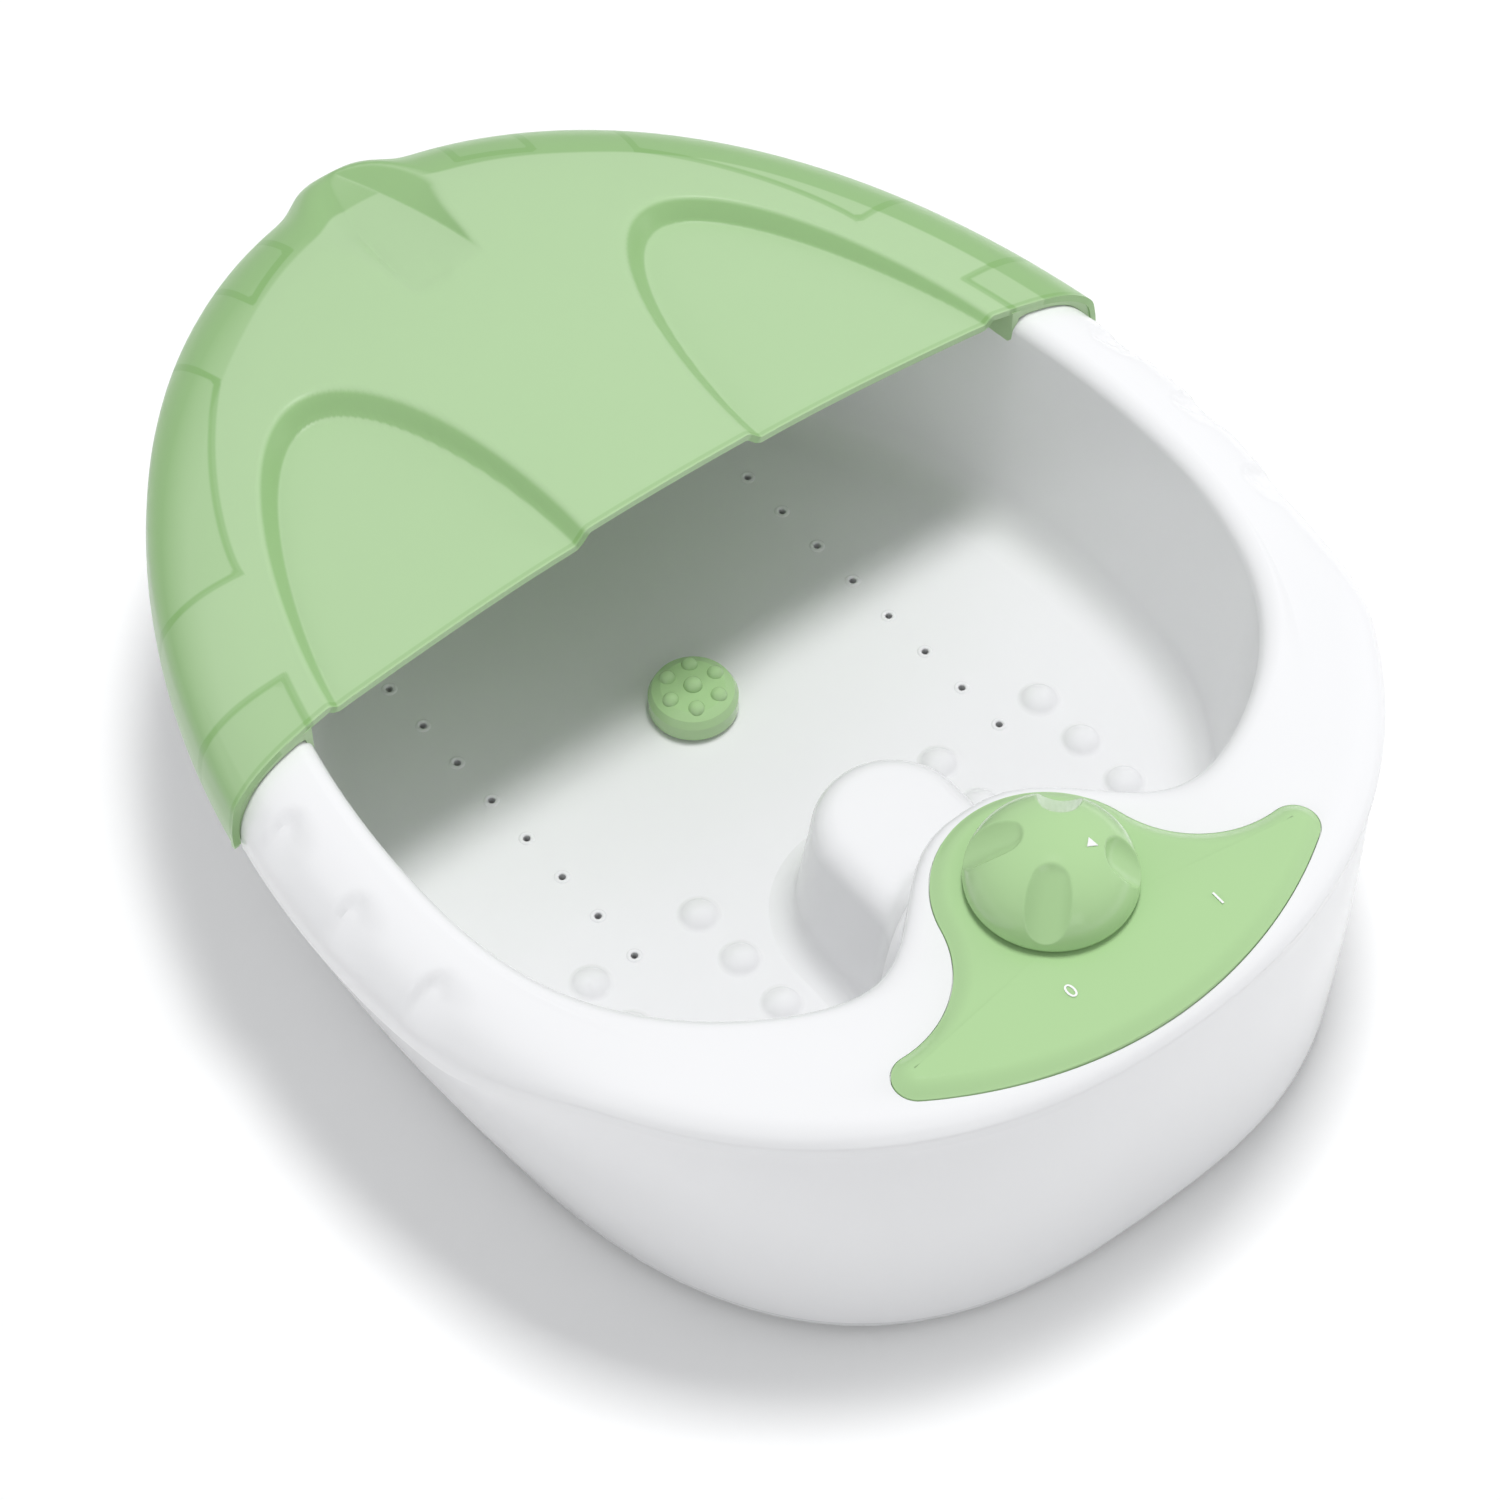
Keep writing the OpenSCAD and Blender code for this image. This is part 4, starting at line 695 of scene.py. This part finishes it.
def outerSkirt():
    t = tubAngles()
    rings = []
    for a in np.radians(np.arange(0, 91, 22.5)):
        r = skirt["footRound"]
        x, y = skirtPoint(t, 1, r * (1 - math.sin(a)))
        rings.append(ring(x, y, form["skirtBottom"] + r * (1 - math.cos(a))))
    for f in np.linspace(1, 0, 24)[1:]:
        x, y = skirtPoint(t, f, 0)
        top = lipHeightAt(y) + skirt["behindLip"]
        rings.append(ring(x, y, mix(top, form["skirtBottom"] + skirt["footRound"], f)))
    piece = thicken(loftPiece("outerSkirt", rings, whiteShell), skirt["wall"])
    sharpEdges(piece, 50)
    return piece


skirtPiece = outerSkirt()
print("skirt made")

# Splash guard
guard = {
    "thick": 2.2, "gap": 2.0, "low": 83.0, "front": 52.0, "crown": 12.0,
    "archWidth": 95.0, "archLength": 97.0, "archGap": 29.0, "archWall": 5.0, "archLean": 10.5,
    "archBow": 1.4, "archPower": 1.38, "archSlope": 1.09, "archLift": 3.2,
    "archTiltX": 0.084, "archTiltY": 0.057, "archRound": 1.1,
    "troughDrop": 12.0, "troughPower": 1.6, "troughLift": 3.4, "troughHalf": 12.5, "troughTaper": 14.0,
    "taperPower": 2.2, "troughSlope": 0.82, "slopeLoss": 0.42, "troughReach": 44.0, "troughAhead": 4.0,
    "ribWall": 1.4, "ribFrom": 3.0, "ribFace": 0.8, "fingerDrop": 11.0,
}
# how far the front edge sweeps back, from which distance off the middle, and over which stretch
frontSweep = ((1.2, 40.0, 80.0), (5.8, 112.0, 62.0))
# walled pockets under the edge: start and end angle there and at the inner wall, and its two insets
pockets = (
    (69.4, 77.4, 68.0, 77.0, 17.6, 16.4),
    (30.0, 59.0, 33.0, 56.5, 25.0, 17.5),
    (0.0, 18.6, 0.0, 21.0, 28.6, 27.5),
)
slip = 0.3
guardOut = guard["thick"] + slip
borderInset = 26.0
borderZ = form["rimHeight"] + guard["gap"] + guard["thick"] + 0.6
frontY = midY + guard["front"]
# Section of the guard's edge: inset, drop and share of the toe's rise
guardSection = spline([[-guardOut, borderZ - guard["low"], 0], [-guardOut, 22.8, 0.4],
                       [0.6 - guardOut, 17.8, 0.7], [-0.5, 12.3, 1], [3.5, 7.7, 1], [9.5, 4, 1],
                       [17, 1.6, 1], [borderInset, 0, 1]], 30)
archX = guard["archGap"] + guard["archWidth"] / 2
spoutEnd = midY + form["toeLength"] + form["spoutOut"] + guardOut
# the guard's marks where its material gets no painted shade
plainMarks = {"edgeIn": 30.0, "wallIn": -9.0, "pressed": 0.0, "pocketIn": -20.0, "frontIn": 9.0}


# where the front edge lies: nearly straight across, then swept back at the sides
def frontAt(x):
    a = np.abs(x)
    return frontY + 1 - sum(back * smooth((a - start) / over) for back, start, over in frontSweep)


def softMin(a, b, k):
    h = np.clip(0.5 + 0.5 * (b - a) / k, 0, 1)
    return mix(b, a, h) - k * h * (1 - h)


# about how far a place lies outside the nearest toe arch's outline
def archDistance(x, y):
    v = (y - frontY) / guard["archLength"]
    up = np.clip(v, 0.0001, None)
    half = guard["archWidth"] / 2
    u = (np.abs(x) - archX + guard["archLean"] * v) / half
    power = guard["archPower"]
    reach = u ** 2 + up ** power
    alongX = 2 * u / half
    alongY = (power * up ** (power - 1) + 2 * u * guard["archLean"] / half) / guard["archLength"]
    root = np.sqrt(reach)
    slope = np.hypot(alongX, alongY) / (2 * np.maximum(root, 0.05))
    return (root - 1) / np.maximum(slope, 0.004)


# height of a toe arch's floor and walls, and how far outside the floor a place lies
def archSurface(x, y):
    out, ahead = np.abs(x) - archX, y - frontY
    across = out + guard["archLean"] * ahead / guard["archLength"]
    bow = guard["archBow"] * (1 - np.clip(2 * across / guard["archWidth"], -1, 1) ** 2)
    tilt = guard["archTiltX"] * (out + guard["archLean"]) + guard["archTiltY"] * ahead
    away = archDistance(x, y) + guard["archWall"]
    floorZ = borderZ + guard["archLift"] - tilt + bow
    return floorZ + np.clip(away, 0, None) * guard["archSlope"], away


# the same for the trough, which gets deeper and narrower from v = 0 to the spout's end at v = 1
def troughSurface(x, v):
    u = np.clip(v, 0, 1)
    away = np.abs(x) - (guard["troughHalf"] - guard["troughTaper"] * u ** guard["taperPower"])
    deep = guard["troughDrop"] * (1 - (1 - u) ** guard["troughPower"])
    bed = borderZ + form["toeRise"] + guard["troughLift"] - deep - np.clip(v, -1, 0) * 40
    slope = guard["troughSlope"] - guard["slopeLoss"] * smooth((u - 0.22) / 0.34)
    return bed + np.clip(away, 0, None) * slope, away


# the guard's surface with the arches and the trough pressed in, and how far outside their floors it is
def guardTop(x, y, rawZ):
    bowl, away = archSurface(x, y)
    z = softMin(rawZ, bowl, guard["archRound"])
    length = form["spoutLength"] + guard["troughAhead"]
    v = (y - (spoutEnd - length)) / length
    bed, troughAway = troughSurface(x, v)
    inTrough = (v > -0.3) & (np.abs(x) < guard["troughReach"])
    # the wall at the left of the trough is soft and gets no painted shade, the right one is crisp and
    # gets the walls' painted shade
    z = np.where(inTrough, softMin(z, bed, 0.9 + 2.4 * smooth((3 - x) / 6)), z)
    return z, np.where(inTrough, np.where(x > 0, troughAway, plainMarks["wallIn"]), away)


def deckHeight(x, y):
    wide, long = rimHalf - borderInset, form["toeLength"] - borderInset
    power = form["toePower"]
    s = ((np.abs(x) / wide) ** power + (np.clip(y - midY, 0, None) / long) ** power) ** (1 / power)
    return borderZ + form["toeRise"] * toeAt(y) + guard["crown"] * (1 - np.clip(s, 0, 1.02) ** 2)


# angle at which the outline at an inset meets the front edge
def cornerAngle(inset):
    low, high = 0.0, 0.6
    for _ in range(40):
        t = (low + high) / 2
        x, y = rimPoint(np.array([t]), inset)
        if y[0] < frontAt(x)[0]:
            low = t
        else:
            high = t
    return (low + high) / 2


def guardColumns():
    t = np.concatenate([np.arange(12, 30, 0.8), np.arange(30, 74, 0.72), np.arange(74, 83, 0.5),
                        np.arange(83, 97, 0.28), np.arange(97, 106, 0.5), np.arange(106, 150, 0.72),
                        np.arange(150, 168.01, 0.8)])
    return (t - t[0]) / (t[-1] - t[0])


# inset of the outline that runs through a place
def insetAt(x, y):
    low, high = np.full(np.shape(x), -10.0), np.full(np.shape(x), 120.0)
    power = form["toePower"]
    for _ in range(40):
        e = (low + high) / 2
        wide, long = rimHalf - e, form["toeLength"] + form["spoutOut"] * spoutAt(x, y) - e
        outside = (np.abs(x) / wide) ** power + (np.clip(y - midY, 0, None) / long) ** power > 1
        high = np.where(outside, e, high)
        low = np.where(outside, low, e)
    return (low + high) / 2


# degrees round the outline at a place, counted from the side towards the toe
def turnAt(x, y, e):
    power = form["toePower"] / 2
    side = (np.abs(x) / (rimHalf - e)) ** power
    ahead = (np.clip(y - midY, 0, None) / (form["toeLength"] - e)) ** power
    return np.degrees(np.arctan2(ahead, side))


# how far a place is inside the walled pockets that the ribs make under the guard's edge
def pocketDepth(x, y, e):
    t = turnAt(x, y, e)
    perDegree = math.radians(1) * mix(form["toeLength"], rimHalf, (t / 90) ** 1.5) * 0.92
    deepest = np.full(np.shape(t), -50.0)
    for outerStart, outerEnd, start, end, insetStart, insetEnd in pockets:
        inner = mix(insetStart, insetEnd, np.clip((t - start) / (end - start), 0, 1) ** 0.6)
        across = np.clip(e / inner, 0, 1)
        ends = np.minimum(t - mix(outerStart, start, across), mix(outerEnd, end, across) - t) * perDegree
        deepest = np.maximum(deepest, np.minimum(ends, inner - e))
    return deepest


# values on the points of the guard that its material reads to place its painted shade
def markPiece(piece, **values):
    for name, value in values.items():
        layer = piece.data.attributes.new(name, "FLOAT", "POINT")
        spread = np.broadcast_to(np.asarray(value, float), len(piece.data.vertices))
        layer.data.foreach_set("value", spread.copy())


def guardShell():
    u = guardColumns()
    rings, walls, presses = [], [], []

    def addRow(x, y, raw):
        z, away = guardTop(x, y, raw)
        rings.append(ring(x, y, z))
        walls.append(away)
        presses.append(raw - z)

    for inset, drop, share in guardSection:
        start = cornerAngle(inset)
        x, y = rimPoint(mix(start, math.pi - start, u), inset)
        addRow(x, y, borderZ - drop + form["toeRise"] * toeAt(y) * share)
    borderX, borderY = rings[-1][:, 0], rings[-1][:, 1]
    for along in np.concatenate([np.linspace(0, 0.97, 108)[1:], np.linspace(0.97, 1, 9)[1:]]):
        y = mix(borderY, frontAt(borderX), along)
        addRow(borderX, y, deckHeight(borderX, y))
    points = np.vstack(rings)
    piece = newPiece("guardShell", points, gridFaces(len(rings), len(u), False), clearLeaf)
    x, y = points[:, 0], points[:, 1]
    e = insetAt(x, y)
    # the painted shade band along the edge reaches further in towards the toe
    widen = mix(1.0, 0.84, smooth((turnAt(x, y, e) - 44) / 22))
    markPiece(piece, edgeIn=e * widen, wallIn=np.concatenate(walls), pressed=np.concatenate(presses),
              pocketIn=pocketDepth(x, y, e), frontIn=y - frontAt(x))
    mergeDoubles(piece)
    thicken(piece, guard["thick"])
    sharpEdges(piece, 60)
    return piece


def underGuard(x, y):
    e = insetAt(x, y)
    drop = np.interp(e, guardSection[:, 0], guardSection[:, 1])
    share = np.interp(e, guardSection[:, 0], guardSection[:, 2])
    edge = borderZ - drop + form["toeRise"] * toeAt(y) * share
    raw = np.where(e < borderInset, edge, deckHeight(x, y))
    return guardTop(x, y, raw)[0] - guard["thick"] * 0.7


# height of the rim below a place, with the slip that the guard keeps
def rimUnder(x, y):
    e = insetAt(x, y)
    drop = np.interp(e, shoulder[:, 0], shoulder[:, 1], left=tub["shoulderDrop"])
    return rimHeightAt(y) - drop + slip + 0.15, e


# a thin wall that hangs from the guard's underside along a path down to the rim
def ribWall(name, path, side, lowest=None):
    path = np.array(path, float)
    steps = []
    for a, b in zip(path[:-1], path[1:]):
        n = max(2, int(np.linalg.norm(b - a) / 1.5))
        steps.append(a + (b - a) * np.linspace(0, 1, n, endpoint=False)[:, None])
    line = np.vstack(steps + [path[-1:]])
    x, y = line[:, 0], line[:, 1]
    high = underGuard(x, y)
    low, e = rimUnder(x, y)
    if lowest is not None:
        low = np.where(e > form["rimLand"] - 0.5, lowest, low)
    low = np.minimum(low, high - 0.1)
    rings = [ring(x, y, mix(low, high, u)) for u in np.linspace(0, 1, 6)]
    faces = gridFaces(len(rings), len(x), False)
    piece = newPiece(name, np.vstack(rings) * [side, 1, 1], faces, clearLeaf)
    thicken(piece, guard["ribWall"], 0)
    mergeDoubles(piece, True)
    sharpEdges(piece, 40)
    markPiece(piece, **plainMarks)
    return piece


def onRim(degrees, inset):
    x, y = rimPoint(np.radians([degrees]), inset)
    return [x[0], y[0]]


def guardRibs():
    ribs = []
    edgeX = np.linspace(rimHalf - 1.5, rimHalf - 28.5, 9)
    frontPath = [[x, frontAt(x) + guard["ribFace"]] for x in edgeX]
    fingerFoot = form["rimHeight"] - guard["fingerDrop"]
    for outerStart, outerEnd, start, end, insetStart, insetEnd in pockets:
        turns = np.linspace(start, end, 9) if start else np.linspace(15.4, end, 6)
        insets = mix(insetStart, insetEnd, ((turns - start) / (end - start)) ** 0.6)
        inner = [onRim(a, e) for a, e in zip(turns, insets)]
        first = [onRim(outerStart, guard["ribFrom"])] if start else frontPath
        path = first + inner + [onRim(outerEnd, guard["ribFrom"])]
        for side in (-1, 1):
            ribs.append(ribWall("rib", path, side, None if start else fingerFoot))
    return ribs


guardPiece = join([guardShell()] + guardRibs(), "splashGuard")
print("guard made:", len(guardPiece.data.polygons), "faces")

# Control panel
def controlPanel():
    top = deckTop + panel["proud"]
    wide, high = panel["edgeWide"], panel["edgeHigh"]
    rings = [ring(*whaleOutline(panel["fit"]).T, deckTop - tub["recess"] + 0.05)]
    for a in np.radians(np.linspace(0, 90, 15)):
        outline = whaleOutline(panel["fit"] + wide * (1 - math.cos(a)))
        rings.append(ring(*outline.T, top - high * (1 - math.sin(a) ** panel["edgePower"])))
    pole = np.array([knobAxis[0], knobAxis[1] - panel["middleBack"]])
    inner = whaleOutline(panel["fit"] + wide)
    for u in (0.985, 0.96, 0.92, 0.87, 0.8, 0.72, 0.62, 0.5, 0.35, 0.18):
        spot = pole + (inner - pole) * u
        rings.append(ring(spot[:, 0], spot[:, 1], top + panel["crown"] * (1 - u ** 2)))
    return loftPiece("controlPanel", rings, leafPlastic, [pole[0], pole[1], top + panel["crown"]])


panelPiece = controlPanel()
panelTop = deckTop + panel["proud"] + panel["crown"]
print("panel made")

# Knob
knob = {
    "width": 49.0, "height": 21.0, "gripRadius": 8.5, "gripAway": 16.5, "gripUp": 23.3, "gripTilt": 44.0,
    "gripSlide": (0.0, 0.0, 0.0, 8.0), "gripRound": 0.45, "foot": 2.0, "spread": 0.9, "swell": 1.05,
}
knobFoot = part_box("knob")[0].z / mm


def domeHeight(r):
    a = np.arccos(np.clip(r / (knob["width"] / 2), 0, 1) ** (1 / knob["spread"]))
    return knob["foot"] + (knob["height"] - knob["foot"]) * np.sin(a) ** knob["swell"]


# lowest height of a round finger channel that runs down and outwards, over places along and across it
def channelHeight(along, across, slide):
    tilt, r = math.radians(knob["gripTilt"]), knob["gripRadius"]
    startA = knob["gripAway"] + slide * math.cos(tilt)
    startZ = knob["gripUp"] - slide * math.sin(tilt)
    half = np.sqrt(np.clip(r ** 2 - across ** 2, 0, None))
    z = startZ - (along - startA) * math.tan(tilt) - half / math.cos(tilt)
    head = startZ - np.sqrt(np.clip(r ** 2 - across ** 2 - (along - startA) ** 2, 0, None))
    beyond = (along - startA) * math.cos(tilt) - (z - startZ) * math.sin(tilt) > 0
    z = np.where(beyond, z, head)
    outside = (np.abs(across) >= r) | (~beyond & (across ** 2 + (along - startA) ** 2 >= r ** 2))
    return np.where(outside, 60.0, z)


def knobCap():
    r0, h = knob["width"] / 2, knob["height"]
    theta = np.radians(np.arange(0, 360, 1.0))
    foot = ((3.5, 1.6), (3.3, 0.25), (1.2, 0), (0.5, 0.2), (0.1, 0.8), (0, 1.6))
    rings = [ring((r0 - inset) * np.cos(theta), (r0 - inset) * np.sin(theta), z) for inset, z in foot]
    for a in np.radians(np.linspace(0, 90, 100)):
        r = r0 * max(math.cos(a), 0.0) ** knob["spread"]
        z = knob["foot"] + (h - knob["foot"]) * math.sin(a) ** knob["swell"]
        if r < 0.3:
            break
        x, y = r * np.cos(theta), r * np.sin(theta)
        top = np.full(len(theta), z)
        for k, slide in enumerate(knob["gripSlide"]):
            g = math.radians(45 + 90 * k)
            along = x * math.cos(g) + y * math.sin(g)
            across = -x * math.sin(g) + y * math.cos(g)
            channel = np.where(along > 2, channelHeight(along, across, slide), 60)
            top = softMin(top, channel, knob["gripRound"])
        rings.append(ring(x, y, np.maximum(top, min(z, knob["foot"]))))
    piece = loftPiece("knobCap", rings, leafPlastic, [0, 0, h])
    moveMesh(piece, (knobAxis[0], knobAxis[1], knobFoot))
    return piece


knobPiece = knobCap()
print("knob made")


# Marks
marks = {
    "size": 6.4, "offAngle": -121.5, "offRadius": 36.5, "onAngle": -45.0, "onRadius": 46.0,
    "pointerFrom": 8.9, "pointerTo": 11.8, "pointerHalf": 1.6, "pointerAngle": -48.0,
}


# a printed figure on the panel, at an angle and a distance from the knob's axis
def printedMark(name, text, degrees, away):
    curve = bpy.data.curves.new(name, "FONT")
    curve.body = text
    curve.align_x, curve.align_y = "CENTER", "CENTER"
    curve.size = marks["size"] * mm
    curve.extrude = 0.00006
    shape = addObject(name, curve)
    bpy.context.view_layer.update()
    mesh = bpy.data.meshes.new_from_object(shape.evaluated_get(bpy.context.evaluated_depsgraph_get()))
    bpy.data.objects.remove(shape)
    mesh.materials.clear()
    mesh.materials.append(whitePrint)
    piece = addObject(name, mesh)
    a = math.radians(degrees)
    x, y = knobAxis + away * np.array([math.cos(a), math.sin(a)])
    moveMesh(piece, (x, y, panelTop + 0.02))
    return piece


offMark = printedMark("offMark", "0", marks["offAngle"], marks["offRadius"])
onMark = printedMark("onMark", "1", marks["onAngle"], marks["onRadius"])


# a small triangle printed on the knob's crown, pointing at the chosen mark
def pointerMark(rows=7):
    g = math.radians(marks["pointerAngle"])
    points, faces = [], []
    for k in range(rows + 1):
        along = mix(marks["pointerTo"], marks["pointerFrom"], k / rows)
        for i in range(k + 1):
            across = marks["pointerHalf"] * (2 * i - k) / rows
            x = along * math.cos(g) - across * math.sin(g)
            y = along * math.sin(g) + across * math.cos(g)
            points.append((x, y, float(domeHeight(math.hypot(x, y))) + 0.07))
    first = [k * (k + 1) // 2 for k in range(rows + 2)]
    for k in range(rows):
        for i in range(k + 1):
            faces.append((first[k] + i, first[k + 1] + i, first[k + 1] + i + 1))
            if i < k:
                faces.append((first[k] + i, first[k + 1] + i + 1, first[k] + i + 1))
    piece = newPiece("pointerMark", points, faces, whitePrint)
    moveMesh(piece, (knobAxis[0], knobAxis[1], knobFoot))
    return thicken(piece, 0.2)


pointer = pointerMark()
print("marks made")

for piece in (basinPiece, skirtPiece, panelPiece, offMark, onMark):
    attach(piece, "basin")
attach(guardPiece, "splash_guard")
for piece in (knobPiece, pointer):
    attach(piece, "knob")
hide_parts("tub")
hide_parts("outer_housing")
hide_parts("splash_guard")
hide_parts("control_panel")
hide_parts("knob")
print("pieces ride on their bodies")

# Floor, light and camera
studio = {
    "worldLight": 0.44, "floorShade": 0.9, "floorLift": 0.08, "farLift": 0.62,
    "nearFloor": 0.35, "farFloor": 1.3, "floorHalf": 12000.0, "floorDrop": 0.05,
}
# name, place, width, height, power, and whether glossy surfaces mirror it
lamps = (
    ("keyLight", (0.3, 0.15, 2.2), 0.5, 0.5, 29.0, False),
    ("leftFill", (-2.0, -0.35, 0.75), 1.2, 0.8, 6.0, False),
    ("rightFill", (1.9, -1.0, 0.6), 1.2, 0.8, 10.0, False),
    ("frontFill", (-0.7, -2.3, 0.5), 1.2, 0.8, 2.5, True),
)
lampsAim = Vector((0, 0, 0.05))


# a pale floor that the camera sees brighter the further it lies from the object
def studioFloor():
    material = bpy.data.materials.new("paleFloor")
    material.use_nodes = True
    nodes, links = material.node_tree.nodes, material.node_tree.links
    shader = nodes["Principled BSDF"]
    shader.inputs["Base Color"].default_value = (studio["floorShade"],) * 3 + (1,)
    shader.inputs["Roughness"].default_value = 0.9
    lift, ray, place = (addNode(nodes, kind) for kind in ("Emission", "LightPath", "TexCoord"))
    away = addNode(nodes, "VectorMath")
    away.operation = "LENGTH"
    spread = addNode(nodes, "MapRange", {"From Min": studio["nearFloor"], "From Max": studio["farFloor"],
                                         "To Min": studio["floorLift"], "To Max": studio["farLift"]})
    strength = addNode(nodes, "Math")
    strength.operation = "MULTIPLY"
    both = addNode(nodes, "AddShader")
    links.new(place.outputs["Object"], away.inputs[0])
    links.new(away.outputs["Value"], spread.inputs["Value"])
    links.new(spread.outputs["Result"], strength.inputs[1])
    links.new(ray.outputs["Is Camera Ray"], strength.inputs[0])
    links.new(strength.outputs["Value"], lift.inputs["Strength"])
    links.new(shader.outputs["BSDF"], both.inputs[0])
    links.new(lift.outputs["Emission"], both.inputs[1])
    links.new(both.outputs["Shader"], nodes["Material Output"].inputs["Surface"])
    half, drop = studio["floorHalf"], studio["floorDrop"]
    corners = [(-half, -half, -drop), (half, -half, -drop), (half, half, -drop), (-half, half, -drop)]
    floor = newPiece("studioFloor", corners, [(0, 1, 2, 3)], material, False)


studioFloor()
world = bpy.data.worlds.new("softRoom")
bpy.context.scene.world = world
world.use_nodes = True
nodes, links = world.node_tree.nodes, world.node_tree.links
room = nodes["Background"]
room.inputs["Color"].default_value = (0.97, 0.985, 1.0, 1)
room.inputs["Strength"].default_value = studio["worldLight"]
backdrop = addNode(nodes, "Background", {"Color": (1, 1, 1, 1), "Strength": 1.0})
ray = addNode(nodes, "LightPath")
choose = addNode(nodes, "MixShader")
links.new(ray.outputs["Is Camera Ray"], choose.inputs["Fac"])
links.new(room.outputs["Background"], choose.inputs[1])
links.new(backdrop.outputs["Background"], choose.inputs[2])
links.new(choose.outputs["Shader"], nodes["World Output"].inputs["Surface"])

for name, place, width, height, power, mirrored in lamps:
    light = bpy.data.lights.new(name, "AREA")
    light.shape = "RECTANGLE"
    light.size, light.size_y = width, height
    light.energy = power
    lamp = addObject(name, light)
    lamp.location = place
    lamp.rotation_mode = "QUATERNION"
    lamp.rotation_quaternion = (lampsAim - Vector(place)).to_track_quat("-Z", "Y")
    lamp.visible_glossy = mirrored

lens = bpy.data.cameras.new("camera")
lens.lens = 105.8
lens.sensor_width = 36.0
lens.clip_start, lens.clip_end = 0.05, 60
camera = addObject("camera", lens)
camera.location = (-0.4936, -0.6506, 1.0999)
camera.rotation_mode = "QUATERNION"
camera.rotation_quaternion = Vector((0.3690, 0.4754, -0.7986)).to_track_quat("-Z", "Y")
bpy.context.scene.camera = camera
bpy.context.scene.view_settings.view_transform = "Standard"

print("scene ready")
